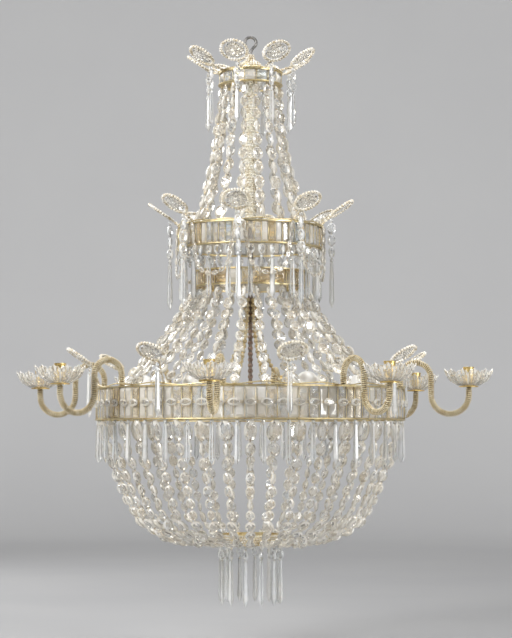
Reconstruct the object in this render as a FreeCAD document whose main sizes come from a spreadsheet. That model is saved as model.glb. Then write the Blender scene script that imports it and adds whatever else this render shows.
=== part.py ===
"""Crystal chandelier of tent and bag form: an iron rod carries four openwork rings, strands of
cut beads run between them, and eight beaded arms hold candle cups in glass drip pans.

Frame: millimetres, +Z up. The origin is where the suspension hook bears on whatever carries it.
A piece's turn about the axis is counted from the front (-Y), positive towards +X.
Depths are counted down from the origin, so a height is minus a depth.
"""
import FreeCAD, Part
import math
import os
import re
import Sketcher

os.makedirs("parts", exist_ok=True)

doc = FreeCAD.newDocument("Chandelier")
sheet = doc.addObject("Spreadsheet::Sheet", "Sizes")
V = FreeCAD.Vector
UP = V(0, 0, 1)
rows = []
nodes = []


# ---------------------------------------------------------------- driving sizes

def size(alias, value, note):
    """Put one driving size into the next row of the sheet."""
    rows.append(alias)
    row = len(rows)
    sheet.set("A%d" % row, note)
    sheet.set("B%d" % row, str(value))
    sheet.setAlias("B%d" % row, alias)


size("seat_gap", 0.3, "space between a piece and what carries it")
size("shaft_gap", 0.1, "radial space round a shaft")

size("hook_wire", 7, "thickness of the hook's iron")
size("hook_bend", 13, "radius of the hook's crook, to the middle of the iron")
size("hook_open_angle", 205, "where the crook's free end stops, seen from the front")
size("hook_neck_angle", 50, "turn of the neck back to the shank")
size("hook_head_radius", 6, "radius of the shank's peened head")
size("hook_head_height", 4.5, "height of the shank's peened head")

size("collar_depth", 56, "top of the collar")
size("collar_height", 16, "height of the collar")
size("collar_radius", 28.5, "radius of the collar")
size("collar_crown", 0.55, "share of the collar's radius at its top")
size("collar_shoulder", 0.9, "share of the collar's radius at its shoulder")
size("collar_shoulder_fall", 4, "how far below the collar's top its shoulder is")
size("collar_edge_fall", 9.6, "how far below the collar's top its sides stand upright")
size("collar_roof", 4, "thickness over the head's room")
size("collar_room", 6, "height of the head's room")
size("head_gap", 1, "space round the hook's head")
size("rod_radius", 6, "radius of the iron rod")
size("beading_top_radius", 17.5, "radius of the stem's beading at its top")
size("beading_foot_radius", 14, "radius of the stem's beading at its foot")
size("beading_pitch", 6.5, "height of one row of the stem's beads")
size("beading_groove", 0.3, "depth of the groove between two rows over their height")

size("rim_thickness", 3, "height of a ring's rims")
size("rim_width", 12, "width of a ring's rims")
size("post_radius", 2, "radius of the posts between two rims")
size("post_inset", 0.5, "how far a post stands in from the rim's inner edge")
size("rim_lip", 1, "how far the panes stand in from a rim's outer edge")
size("hub_radius", 14, "radius of the hubs on the rod")
size("bar_width", 8, "width of the bars from hub to ring")
size("pane_thickness", 6, "thickness of the panes between two rims")
size("pane_gap", 1, "space between two panes")
size("pane_face", 0.5, "share of a pane's width that its front facet takes")
size("pane_edge", 0.4, "share of a pane's thickness that its edges keep")

size("top_radius", 73, "top ring: radius")
size("top_depth", 81, "top ring: depth")
size("top_height", 30, "top ring: height")
size("top_panes", 16, "top ring: number of panes")
size("top_bars", 4, "top ring: number of bars")
size("top_bar_turn", 45, "top ring: turn of the first bar")

size("middle_radius", 166, "middle ring: radius")
size("middle_depth", 438, "middle ring: depth")
size("middle_height", 52, "middle ring: height")
size("middle_panes", 64, "middle ring: number of panes")
size("middle_bars", 6, "middle ring: number of bars")
size("middle_bar_turn", 30, "middle ring: turn of the first bar")
size("middle_hoop", 128, "middle ring: radius of the hoop that the upper strands end on")

size("inner_radius", 132, "inner ring: radius")
size("inner_depth", 540, "inner ring: depth")
size("inner_height", 38, "inner ring: height")
size("inner_panes", 24, "inner ring: number of panes")
size("inner_bars", 4, "inner ring: number of bars")
size("inner_bar_turn", 45, "inner ring: turn of the first bar")

size("large_radius", 351, "large ring: radius")
size("large_depth", 807, "large ring: depth")
size("large_height", 73, "large ring: height")
size("large_panes", 96, "large ring: number of panes")
size("large_hoop", 306, "large ring: radius of the hoop that the tent's strands end on")
size("lozenge_count", 64, "large ring: number of lozenge beads")
size("lozenge_length", 27, "large ring: length of a lozenge bead")
size("lozenge_width", 17, "large ring: height of a lozenge bead")
size("lozenge_thickness", 7, "large ring: thickness of a lozenge bead")
size("spider_bars", 6, "number of bars of the spider in the large ring")
size("spider_bar_width", 12, "width of the spider's bars")
size("spider_inset", 9, "how far in from the large ring's outside the spider's bars end")
size("stay_radius", 5.5, "radius of a stay")
size("stay_depth", 600, "where the stays leave the rod")
size("stay_foot", 130, "how far out the stays stand on the spider")
size("stay_ankle", 8, "height of the upright end of a stay")

size("bag_radius", 74, "bag ring: radius")
size("bag_depth", 1136, "bag ring: depth")
size("bag_height", 24, "bag ring: height")

size("bead_sides", 8, "number of sides of a cut bead")
size("bead_table", 0.58, "share of a bead's size that its table takes")
size("bead_aspect", 0.76, "width of a bead over its length")
size("bead_flatness", 0.5, "thickness of a bead over its width")
size("bead_link", 2.4, "bare wire between two beads")
size("bead_twist", 47, "turn of each bead on its wire against the one before it")
size("strand_twist", 61, "turn of a strand's first bead against the strand beside it")
size("wire_radius", 0.5, "radius of the wire that the beads are strung on")
size("strand_end", 5, "bare wire between a strand's last bead and what it is tied to")

size("upper_strands", 16, "upper tent: number of strands")
size("upper_beads", 10, "upper tent: beads in a strand")
size("upper_growth", 1.35, "upper tent: last bead over first bead")
size("upper_bow", 10, "upper tent: how far a strand bows")
size("tent_strands", 28, "lower tent: number of strands")
size("tent_beads", 9, "lower tent: beads in a strand")
size("tent_growth", 1.05, "lower tent: last bead over first bead")
size("tent_bow", 12, "lower tent: how far a strand bows")
size("bag_strands", 40, "bag: number of strands")
size("bag_side_beads", 6, "bag: beads in the side of a strand, without its almond")
size("bag_side_growth", 0.8, "bag: last bead of the side over its first")
size("bag_floor_beads", 7, "bag: beads in the floor of a strand")
size("bag_floor_growth", 0.66, "bag: last bead of the floor over its first")
size("bag_turn_radius", 262, "bag: how far out the side ends and the floor begins")
size("bag_turn_depth", 1096, "bag: how far down the side ends and the floor begins")
size("bag_side_bow", 7, "bag: how far the side bows out")
size("bag_floor_bow", 28, "bag: how far the floor bows out")
size("bag_short", 3, "bag: beads that every second strand's floor leaves out")
size("almond_length", 49, "bag: length of the almond that starts a strand")
size("almond_width", 28, "bag: width of that almond")

size("rosette_radius", 34, "radius of a rosette")
size("rosette_rim", 4, "radius of the beaded rim of a rosette")
size("rosette_glass", 8, "thickness of the glass in a rosette")
size("rosette_glass_sides", 12, "number of sides of the glass in a rosette")
size("rosette_lean", 35, "angle of a rosette to the level")
size("rosette_stem", 2.5, "radius of a rosette's stem")
size("crown_rosettes", 8, "number of rosettes on the top and middle rings")
size("top_rosette_turn", -17, "turn of the first rosette on the top ring")
size("top_rosette_reach", 52, "top ring: how far outside it its rosettes are")
size("top_rosette_rise", 29, "top ring: how far above it its rosettes are")
size("middle_rosette_turn", -8.2, "turn of the first rosette on the middle ring")
size("middle_rosette_reach", 44, "middle ring: how far outside it its rosettes are")
size("middle_rosette_rise", 39, "middle ring: how far above it its rosettes are")
size("large_rosette_turn", 12.9, "turn of the first rosette on the large ring")
size("large_rosette_reach", 41, "large ring: how far outside it its rosettes are")
size("large_rosette_rise", 68, "large ring: how far above it its rosettes are")

size("pearl_width", 9, "width of a small round bead in a drop")
size("pearl_top", 0.5, "share of a small round bead's width that its top has")
size("prism_sides", 6, "number of sides of an icicle and of a small round bead")
size("icicle_width", 13, "width of an icicle")
size("icicle_neck", 0.6, "share of an icicle's width that its top has")
size("icicle_shoulder", 0.84, "share of an icicle's length that lies above its widest place")
size("drop_shift", 1.5, "how far outside the lowest place of a rosette's rim its drop hangs")
size("top_drop_beads", 2, "top drops: number of oval beads")
size("top_drop_bead", 22, "top drops: length of an oval bead")
size("top_drop_icicle", 75, "top drops: length of the icicle")
size("middle_drop_beads", 3, "middle drops: number of oval beads")
size("middle_drop_bead", 27, "middle drops: length of an oval bead")
size("middle_drop_icicle", 105, "middle drops: length of the icicle")
size("large_drop_icicle", 95, "drops of the large ring's rosettes: length of the icicle")
size("middle_fringe_drops", 40, "fringe of the middle ring: number of drops")
size("middle_fringe_bead", 24, "fringe of the middle ring: length of a bead")
size("middle_fringe_icicle", 88, "fringe of the middle ring: length of an icicle")
size("middle_fringe_inset", 8.4, "fringe of the middle ring: how far in from the ring's outside it hangs")
size("large_fringe_icicle", 86, "fringe of the large ring: length of an icicle")
size("bottom_drops", 12, "number of drops under the bag ring")
size("bottom_drop_turn", 21, "turn of the first drop under the bag ring")
size("bottom_drop_bead", 24, "drops under the bag ring: length of the bead")
size("bottom_drop_icicle", 102, "drops under the bag ring: length of the icicle")
size("swag_beads", 6, "beads in the curved row of a swag")
size("swag_fall", 30, "how far that row hangs down in its middle")
size("swag_link", 0.7, "bare wire at each end of a bead in that row")
size("swag_drop", 88, "how far below the middle ring's top its ends are")
size("swag_turn", 8, "turn from a rosette to the end of the curved row beside it")
size("swag_side_beads", 4, "beads in each straight row that carries a swag")
size("swag_side_turn", 2.4, "turn from a rosette to the top of a straight row")
size("swag_width", 11, "width of a swag's beads")
size("swag_flatness", 0.55, "thickness of a swag's beads over their width")

size("arm_count", 8, "number of arms")
size("arm_turn", -9.6, "turn of the first arm")
size("arm_tube", 7.5, "radius of an arm with its beads")
size("arm_foot", 342, "how far out an arm stands on the large ring")
size("arm_waist", 411, "how far out an arm goes down again")
size("arm_reach", 495, "how far out a candle stands")
size("arm_arch_depth", 785, "depth of the middle of an arm's arch")
size("arm_bow_depth", 824, "depth of the middle of an arm's bow")
size("cup_radius", 12, "outer radius of a candle cup")
size("cup_bore", 11, "radius of a candle cup's bore")
size("cup_bore_depth", 25, "depth of a candle cup's bore")
size("cup_height", 45, "height of a candle cup")
size("cup_foot_depth", 806, "depth of a candle cup's foot")
size("cup_foot_radius", 21.5, "radius of a candle cup's foot")
size("cup_foot_height", 3, "height of a candle cup's foot")
size("pan_gap", 0.6, "space between a drip pan and its candle cup")
size("pan_radius", 55, "radius of a drip pan")
size("pan_height", 37, "height of a drip pan")
size("pan_wall", 3, "thickness of a drip pan")
size("pan_base", 24, "radius of a drip pan's level base")
size("pan_petals", 12, "number of petals round a drip pan")
size("pan_notch", 4.5, "radius of the notch between two petals")
size("pan_notch_reach", 56.35, "how far from the middle of a pan the middles of its notches are")
size("pan_notch_foot", 7.4, "how far above a pan's base its notches start")
size("pan_flank", 0.62, "share of a pan's spread that it reaches at its flank")
size("pan_flank_height", 0.3, "share of a pan's height at its flank")

size("bulb_count", 6, "number of bulbs in the large ring")
size("bulb_radius", 25, "radius of a bulb")
size("bulb_depth", 800, "depth of a bulb's middle")
size("bulb_reach", 245, "how far out the bulbs stand")
size("bulb_turn", 30, "turn of the first bulb")
size("bulb_neck", 10, "radius of a bulb's neck")
size("bulb_neck_length", 38, "length of a bulb's neck from the bulb's middle")
size("holder_wall", 3, "wall of a lampholder")
size("holder_floor", 4, "floor of a lampholder")

doc.recompute()


def get(alias):
    """The number in the sheet's cell of that name."""
    return float(sheet.get(alias))


def count(alias):
    """The whole number in the sheet's cell of that name."""
    return int(round(get(alias)))


def bind(item, prop, formula):
    """Tie a property to a formula of the sheet's names."""
    item.setExpression(prop, re.sub(r"[a-z][a-z_]+", r"Sizes.\g<0>", formula))


# ---------------------------------------------------------------- helpers for solids

def finish_node(item, label):
    """Name a sub-part, and keep it for the export."""
    item.Label = label
    nodes.append(item)
    return item


def solid_node(label, shape, place=None):
    """A sub-part whose shape is worked out here from the sheet."""
    item = doc.addObject("Part::Feature", label)
    item.Shape = shape
    item.Placement = place or FreeCAD.Placement()
    return finish_node(item, label)


def place_round(radius, height, turn, lean=0.0, twist=0.0):
    """A place round the axis: twisted on its own Z, leaned outward, then carried to its turn."""
    spin = FreeCAD.Rotation(UP, turn - 90)
    tilt = FreeCAD.Rotation(V(0, 1, 0), lean)
    roll = FreeCAD.Rotation(UP, twist)
    return FreeCAD.Placement(spin.multVec(V(radius, 0, height)), spin * tilt * roll)


def placed(shape, radius, height, turn, lean=0.0, twist=0.0):
    """A copy of a shape, carried to a place round the axis."""
    copy = shape.copy()
    copy.Placement = place_round(radius, height, turn, lean, twist).multiply(copy.Placement)
    return copy


def flat_face(points):
    """A face with straight edges."""
    return Part.Face(Part.makePolygon(points + [points[0]]))


def polygon(sides, radius_y, radius_z, x):
    """Corners of an even polygon in a plane of constant x, with a flat side up."""
    step = 2 * math.pi / sides
    fit = 1 / math.cos(step / 2)
    corners = []
    for i in range(sides):
        angle = (i + 0.5) * step
        corners.append(V(x, fit * radius_y * math.sin(angle), fit * radius_z * math.cos(angle)))
    return corners


def stacked(loops):
    """A convex solid through a stack of loops with equal numbers of corners."""
    faces = [flat_face(loops[0]), flat_face(loops[-1])]
    for low, high in zip(loops, loops[1:]):
        for i in range(len(low)):
            j = (i + 1) % len(low)
            faces.append(flat_face([low[i], low[j], high[j], high[i]]))
    return Part.makeSolid(Part.makeShell(faces))


def cut_bead(length, width, thickness):
    """A flat oval bead, long along Z: a girdle of straight sides and a table on each face."""
    sides = count("bead_sides")
    table = get("bead_table")
    loops = []
    for x, share in ((-thickness / 2, table), (0, 1), (thickness / 2, table)):
        loops.append(polygon(sides, share * width / 2, share * length / 2, x))
    return stacked(loops)


def level_loop(sides, radius, z):
    """Corners of an even polygon at one height."""
    step = 2 * math.pi / sides
    return [V(radius * math.cos(i * step), radius * math.sin(i * step), z) for i in range(sides)]


def pearl(width):
    """A small round bead with cut sides, centred on its middle."""
    half = width / 2
    end = get("pearl_top") * half
    sides = count("prism_sides")
    return stacked([level_loop(sides, end, -half), level_loop(sides, half, 0), level_loop(sides, end, half)])


def icicle(length, width):
    """A long hanging prism: its top is at the origin, it widens downwards and ends in a point."""
    sides = count("prism_sides")
    top = level_loop(sides, get("icicle_neck") * width / 2, 0)
    wide = level_loop(sides, width / 2, -get("icicle_shoulder") * length)
    tip = V(0, 0, -length)
    faces = [flat_face(top)]
    for i in range(sides):
        j = (i + 1) % sides
        faces.append(flat_face([top[i], top[j], wide[j], wide[i]]))
        faces.append(flat_face([wide[i], wide[j], tip]))
    return Part.makeSolid(Part.makeShell(faces))


class Bow:
    """A shallow arc from one place to another in the plane of radius and height."""

    def __init__(self, start, end, bow):
        chord = math.hypot(end[0] - start[0], end[1] - start[1])
        self.along = ((end[0] - start[0]) / chord, (end[1] - start[1]) / chord)
        side = math.copysign(1, bow)
        self.out = (side * self.along[1], -side * self.along[0])
        rise = abs(bow)
        self.radius = (chord * chord / 4 + rise * rise) / (2 * rise)
        self.half = math.asin(chord / 2 / self.radius)
        self.length = 2 * self.half * self.radius
        back = self.radius - rise
        halfway = ((start[0] + end[0]) / 2, (start[1] + end[1]) / 2)
        self.middle = (halfway[0] - back * self.out[0], halfway[1] - back * self.out[1])

    def at(self, distance):
        """Radius, height and lean of the place that lies so far along the arc."""
        angle = distance / self.radius - self.half
        cosine = math.cos(angle)
        sine = math.sin(angle)
        radius = self.middle[0] + self.radius * (self.out[0] * cosine + self.along[0] * sine)
        height = self.middle[1] + self.radius * (self.out[1] * cosine + self.along[1] * sine)
        run = self.along[0] * cosine - self.out[0] * sine
        fall = self.along[1] * cosine - self.out[1] * sine
        return radius, height, math.degrees(math.atan2(-run, -fall))

    def wire(self, turn):
        """The wire that the beads of one strand hang on. It ends a little short of the path's ends."""
        trim = get("seat_gap") + get("wire_radius") / 2
        spots = [self.at(distance) for distance in (trim, self.length - trim)]
        start, end = [V(radius, 0, height) for radius, height, lean in spots]
        lean = math.radians(spots[0][2])
        centre = V(self.middle[0], 0, self.middle[1])
        travel = V(-math.sin(lean), 0, -math.cos(lean))
        section = Part.Face(Part.Wire(Part.Circle(start, travel, get("wire_radius")).toShape()))
        axis = (start - centre).cross(end - centre).normalize()
        angle = math.degrees((self.length - 2 * trim) / self.radius)
        return placed(section.revolve(centre, axis, angle), 0, 0, turn)


def strung(path, number, growth, turn, first_twist, bare_start=0.0, bare_end=0.0):
    """The beads of one strand: they grow evenly, fill the path and leave bare wire between them."""
    weights = [1 + (growth - 1) * i / max(number - 1, 1) for i in range(number)]
    pitch = (path.length - bare_start - bare_end) / sum(weights)
    beads = []
    reached = bare_start
    for i, weight in enumerate(weights):
        length = pitch * weight - get("bead_link")
        width = get("bead_aspect") * length
        radius, height, lean = path.at(reached + pitch * weight / 2)
        bead = cut_bead(length, width, get("bead_flatness") * width)
        beads.append(placed(bead, radius, height, turn, lean, first_twist + get("bead_twist") * i))
        reached = reached + pitch * weight
    return beads


def hanging(pieces, radius, top, turn):
    """Pieces hung one under another. Each is a solid, its height and how far its middle is from its top."""
    gap = get("seat_gap")
    out = []
    height = top
    for solid, tall, to_origin in pieces:
        out.append(placed(solid, radius, height - to_origin, turn))
        height = height - tall - gap
    return out


def pearl_piece():
    width = get("pearl_width")
    return (pearl(width), width, width / 2)


def bead_piece(length):
    width = get("bead_aspect") * length
    return (cut_bead(length, width, get("bead_flatness") * width), length, length / 2)


def icicle_piece(length):
    return (icicle(length, get("icicle_width")), length, 0)


def turns(number, first=0.0):
    """Even turns about the axis."""
    return [first + 360.0 * i / number for i in range(number)]


# ---------------------------------------------------------------- bound primitives

def plate(name, outer, inner, depth, tall):
    """A level ring between two radii, hung with its top at a depth."""
    round_plate = doc.addObject("Part::Cylinder", name + "_plate")
    hole = doc.addObject("Part::Cylinder", name + "_hole")
    for item, radius in ((round_plate, outer), (hole, inner)):
        bind(item, "Radius", radius)
        bind(item, "Height", tall)
        bind(item, "Placement.Base.z", "-(%s) - (%s)" % (depth, tall))
    ring = doc.addObject("Part::Cut", name)
    ring.Base = round_plate
    ring.Tool = hole
    return ring


def bars(name, number, first, start, end, width, depth, tall):
    """Level bars from one radius to another."""
    made = []
    for i, turn in enumerate(turns(number, first)):
        bar = doc.addObject("Part::Box", "%s_%d" % (name, i + 1))
        bar.Placement = FreeCAD.Placement(V(0, 0, 0), FreeCAD.Rotation(UP, turn - 90))
        angle = math.radians(turn - 90)
        along = (round(math.cos(angle), 9), round(math.sin(angle), 9))
        bind(bar, "Length", "(%s) - (%s)" % (end, start))
        bind(bar, "Width", width)
        bind(bar, "Height", tall)
        bind(bar, "Placement.Base.x", "(%s) * %s + (%s) / 2 * %s" % (start, along[0], width, along[1]))
        bind(bar, "Placement.Base.y", "(%s) * %s - (%s) / 2 * %s" % (start, along[1], width, along[0]))
        bind(bar, "Placement.Base.z", "-(%s) - (%s)" % (depth, tall))
        made.append(bar)
    return made


def fused(label, pieces):
    """One solid of several primitives that overlap."""
    item = doc.addObject("Part::MultiFuse", label)
    item.Shapes = pieces
    item.Refine = True
    return finish_node(item, label)


def ring_frame(label, ring, post_count, post_turn, inner_pieces):
    """Two rims, the posts behind the panes, and the bars or hoops that hold them."""
    rim = ring + "_radius"
    inside = rim + " - rim_width"
    low = ring + "_depth + " + ring + "_height - rim_thickness"
    pieces = [plate(ring + "_upper_rim", rim, inside, ring + "_depth", "rim_thickness")]
    pieces.append(plate(ring + "_lower_rim", rim, inside, low, "rim_thickness"))
    for i, turn in enumerate(turns(post_count, post_turn)):
        post = doc.addObject("Part::Cylinder", "%s_post_%d" % (ring, i + 1))
        angle = math.radians(turn - 90)
        reach = "(%s_radius - rim_width + post_radius + post_inset)" % ring
        bind(post, "Radius", "post_radius")
        bind(post, "Height", ring + "_height - rim_thickness")
        bind(post, "Placement.Base.x", "%s * %.9f" % (reach, math.cos(angle)))
        bind(post, "Placement.Base.y", "%s * %.9f" % (reach, math.sin(angle)))
        bind(post, "Placement.Base.z", "-(%s) - rim_thickness / 2" % low)
        pieces.append(post)
    return fused(label, pieces + inner_pieces)


def hub_and_bars(ring, number, first):
    """A hub round the rod, with bars out to the ring's upper rim."""
    hub = plate(ring + "_hub", "hub_radius", "rod_radius + shaft_gap", ring + "_depth", "rim_thickness")
    end = ring + "_radius - rim_width / 2"
    arms = bars(ring + "_bar", number, first, "(hub_radius + rod_radius) / 2", end, "bar_width",
                ring + "_depth", "rim_thickness")
    return [hub] + arms


def panes(ring):
    """Upright cut panes that stand between a ring's rims, with a sloped edge on each side."""
    number = count(ring + "_panes")
    gap = get("seat_gap")
    back = get(ring + "_radius") - get("pane_thickness") - get("rim_lip")
    width = 2 * back * math.tan(math.pi / number) - get("pane_gap")
    depth = get("pane_thickness")
    face = get("pane_face") * width
    tall = get(ring + "_height") - 2 * get("rim_thickness") - 2 * gap
    edge = get("pane_edge") * depth
    outline = [V(0, -width / 2, 0), V(edge, -width / 2, 0), V(depth, -face / 2, 0),
               V(depth, face / 2, 0), V(edge, width / 2, 0), V(0, width / 2, 0)]
    pane = flat_face(outline).extrude(V(0, 0, tall))
    foot = -get(ring + "_depth") - get(ring + "_height") + get("rim_thickness") + gap
    return [placed(pane, back, foot, turn) for turn in turns(number)]


def corner_sheet(name, formulas):
    """The corners of an outline, worked out from the sizes: radius in column A, depth in column B."""
    corners = doc.addObject("Spreadsheet::Sheet", name + "_corners")
    for i, pair in enumerate(formulas):
        for column, formula in zip("AB", pair):
            corners.set("%s%d" % (column, i + 1), "=" + re.sub(r"[a-z][a-z_]+", r"Sizes.\g<0>", formula))
    doc.recompute()
    return corners


def outline_sketch(body, corners, number):
    """A closed outline on the body's upright plane, with each corner tied to its row of the sheet."""
    sketch = body.newObject("Sketcher::SketchObject", body.Name + "_outline")
    plane = [item for item in body.Origin.OriginFeatures if item.Role == "XZ_Plane"][0]
    sketch.AttachmentSupport = [(plane, "")]
    sketch.MapMode = "FlatFace"
    spots = []
    for i in range(number):
        spots.append(V(float(corners.get("A%d" % (i + 1))), -float(corners.get("B%d" % (i + 1))), 0))
    for i, spot in enumerate(spots):
        sketch.addGeometry(Part.LineSegment(spot, spots[(i + 1) % number]), False)
    for i in range(number):
        sketch.addConstraint(Sketcher.Constraint("Coincident", i, 2, (i + 1) % number, 1))
    for i, spot in enumerate(spots):
        if spot.x == 0:
            sketch.addConstraint(Sketcher.Constraint("PointOnObject", i, 1, -2))
        else:
            across = sketch.addConstraint(Sketcher.Constraint("DistanceX", -1, 1, i, 1, spot.x))
            sketch.setExpression("Constraints[%d]" % across, "%s.A%d" % (corners.Name, i + 1))
        down = sketch.addConstraint(Sketcher.Constraint("DistanceY", i, 1, -1, 1, -spot.y))
        sketch.setExpression("Constraints[%d]" % down, "%s.B%d" % (corners.Name, i + 1))
    return sketch


def turned_body(name, formulas):
    """A body turned about the Z axis. Its corners are formulas of the sheet: radius, then depth."""
    corners = corner_sheet(name, formulas)
    body = doc.addObject("PartDesign::Body", name)
    sketch = outline_sketch(body, corners, len(formulas))
    turned = body.newObject("PartDesign::Revolution", name + "_turned")
    turned.Profile = sketch
    turned.ReferenceAxis = (sketch, ["V_Axis"])
    turned.Angle = 360
    doc.recompute()
    return body


# ---------------------------------------------------------------- hook, collar, rod and beading

def suspension_hook():
    """An iron crook, open to the left, on a shank with a peened head in the collar."""
    bend = get("hook_bend")
    wire = get("hook_wire") / 2
    neck = math.radians(get("hook_neck_angle"))
    tip = math.radians(get("hook_open_angle"))
    centre = V(0, 0, wire - bend)

    def on_bend(angle):
        return centre + V(bend * math.cos(angle), 0, bend * math.sin(angle))

    crook = Part.Arc(on_bend(tip), on_bend(math.pi / 2), on_bend(-neck))
    start = on_bend(-neck)
    turn_radius = start.x / (1 - math.cos(neck))
    middle = V(turn_radius, 0, start.z - turn_radius * math.sin(neck))
    half = neck / 2
    spot = middle - V(turn_radius * math.cos(half), 0, -turn_radius * math.sin(half))
    neck_end = V(0, 0, middle.z)
    reverse = Part.Arc(start, spot, neck_end)
    foot = V(0, 0, -get("collar_depth") - get("collar_roof") - get("seat_gap") - get("hook_head_height") / 2)
    shank = Part.LineSegment(neck_end, foot)
    path = Part.Wire([crook.toShape(), reverse.toShape(), shank.toShape()])
    travel = V(math.sin(tip), 0, -math.cos(tip))
    section = Part.Wire(Part.Circle(on_bend(tip), travel, wire).toShape())
    iron = path.makePipeShell([section], True, False)
    head_base = foot - V(0, 0, get("hook_head_height") / 2)
    head = Part.makeCylinder(get("hook_head_radius"), get("hook_head_height"), head_base)
    return solid_node("suspension_hook", iron.fuse(head).removeSplitter())


def stem_collar():
    """The cap over the rod's top: the hook's head turns in a room inside it."""
    room = "collar_depth + collar_roof"
    floor = room + " + collar_room"
    bore = "hook_wire / 2 + shaft_gap"
    foot = "collar_depth + collar_height"
    body = turned_body("stem_collar", [
        (bore, "collar_depth"),
        ("collar_radius * collar_crown", "collar_depth"),
        ("collar_radius * collar_shoulder", "collar_depth + collar_shoulder_fall"),
        ("collar_radius", "collar_depth + collar_edge_fall"),
        ("collar_radius", foot),
        ("rod_radius + shaft_gap", foot),
        ("rod_radius + shaft_gap", floor),
        ("hook_head_radius + head_gap", floor),
        ("hook_head_radius + head_gap", room),
        (bore, room)])
    return finish_node(body, "stem_collar")


def stem_rod():
    rod = doc.addObject("Part::Cylinder", "stem_rod")
    top = "(collar_depth + collar_roof + collar_room)"
    foot = "(large_depth + large_height - rim_thickness - seat_gap)"
    bind(rod, "Radius", "rod_radius")
    bind(rod, "Height", "%s - %s" % (foot, top))
    bind(rod, "Placement.Base.z", "-" + foot)
    return finish_node(rod, "stem_rod")


def stem_beading():
    """Rows of small beads round the rod, in one sleeve above the top ring's bars and one below."""
    gap = get("seat_gap")
    bore = get("rod_radius") + get("shaft_gap")
    collar_foot = get("collar_depth") + get("collar_height")
    full_top = collar_foot + gap
    full_foot = get("middle_depth") - gap

    def sleeve(top, foot):
        number = max(int(round((foot - top) / get("beading_pitch"))), 1)
        pitch = (foot - top) / number
        edges = [Part.makeLine(V(bore, 0, -foot), V(bore, 0, -top))]

        def crest(depth):
            share = (depth - full_top) / (full_foot - full_top)
            return (1 - share) * get("beading_top_radius") + share * get("beading_foot_radius")

        inset = get("beading_groove") * pitch
        here = V(crest(top) - inset, 0, -top)
        edges.append(Part.makeLine(V(bore, 0, -top), here))
        for i in range(number):
            depth = top + pitch * (i + 1)
            there = V(crest(depth) - inset, 0, -depth)
            spot = V(crest(depth - pitch / 2), 0, -depth + pitch / 2)
            edges.append(Part.Arc(here, spot, there).toShape())
            here = there
        edges.append(Part.makeLine(here, V(bore, 0, -foot)))
        return Part.Face(Part.Wire(edges)).revolve(V(0, 0, 0), UP, 360)

    bars_foot = get("top_depth") + get("rim_thickness")
    upper = sleeve(full_top, get("top_depth") - gap)
    lower = sleeve(bars_foot + gap, full_foot)
    return solid_node("stem_beading", Part.makeCompound([upper, lower]))


# ---------------------------------------------------------------- rings

def ring_on_bars(ring, more_pieces=()):
    """A ring that bars from the rod carry. A post stands over the end of each bar."""
    number = count(ring + "_bars")
    first = get(ring + "_bar_turn")
    return ring_frame(ring + "_ring", ring, number, first, hub_and_bars(ring, number, first) + list(more_pieces))


def top_ring():
    return ring_on_bars("top")


def middle_ring():
    hoop = plate("middle_hoop_plate", "middle_hoop + rim_width / 2", "middle_hoop - rim_width / 2",
                 "middle_depth", "rim_thickness")
    return ring_on_bars("middle", [hoop])


def inner_ring():
    return ring_on_bars("inner")


def large_ring():
    number = count("arm_count")
    first = get("arm_turn")
    hoop = plate("large_hoop_plate", "large_hoop + rim_width / 2", "large_hoop - rim_width / 2",
                 "large_depth", "rim_thickness")
    ties = bars("large_tie", number, first, "large_hoop", "large_radius - rim_width / 2", "bar_width",
                "large_depth", "rim_thickness")
    return ring_frame("large_ring", "large", number, first, [hoop] + ties)


def all_panes():
    """The clear panes of three rings, and the amber ones of the inner ring."""
    clear = panes("top") + panes("middle") + panes("large")
    solid_node("ring_panes", Part.makeCompound(clear))
    solid_node("inner_ring_panes", Part.makeCompound(panes("inner")))


def large_ring_lozenges():
    """Flat oval beads laid level in front of the panes."""
    thickness = get("lozenge_thickness")
    bead = cut_bead(get("lozenge_length"), get("lozenge_width"), thickness)
    bead.rotate(V(0, 0, 0), V(1, 0, 0), 90)
    middle = -get("large_depth") - get("large_height") / 2
    radius = get("large_radius") - get("rim_lip") + get("seat_gap") + thickness / 2
    number = count("lozenge_count")
    return solid_node("large_ring_lozenges",
                      Part.makeCompound([placed(bead, radius, middle, turn) for turn in turns(number)]))


def ring_spider():
    """A flat spider on the large ring's lower rim: it carries the ring, the bulbs and the stays."""
    lift = "large_depth + large_height - 2 * rim_thickness - seat_gap"
    hub = plate("spider_hub", "hub_radius", "rod_radius + shaft_gap", lift, "rim_thickness")
    end = "large_radius - spider_inset"
    arms = bars("spider_bar", count("spider_bars"), get("bulb_turn"), "(hub_radius + rod_radius) / 2", end,
                "spider_bar_width", lift, "rim_thickness")
    return fused("ring_spider", [hub] + arms)


def bag_ring():
    ring = plate("bag_ring", "bag_radius", "bag_radius - rim_width", "bag_depth", "bag_height")
    return finish_node(ring, "bag_ring")


def spider_top():
    """Height of the spider's upper face."""
    return -(get("large_depth") + get("large_height") - 2 * get("rim_thickness") - get("seat_gap"))


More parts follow.
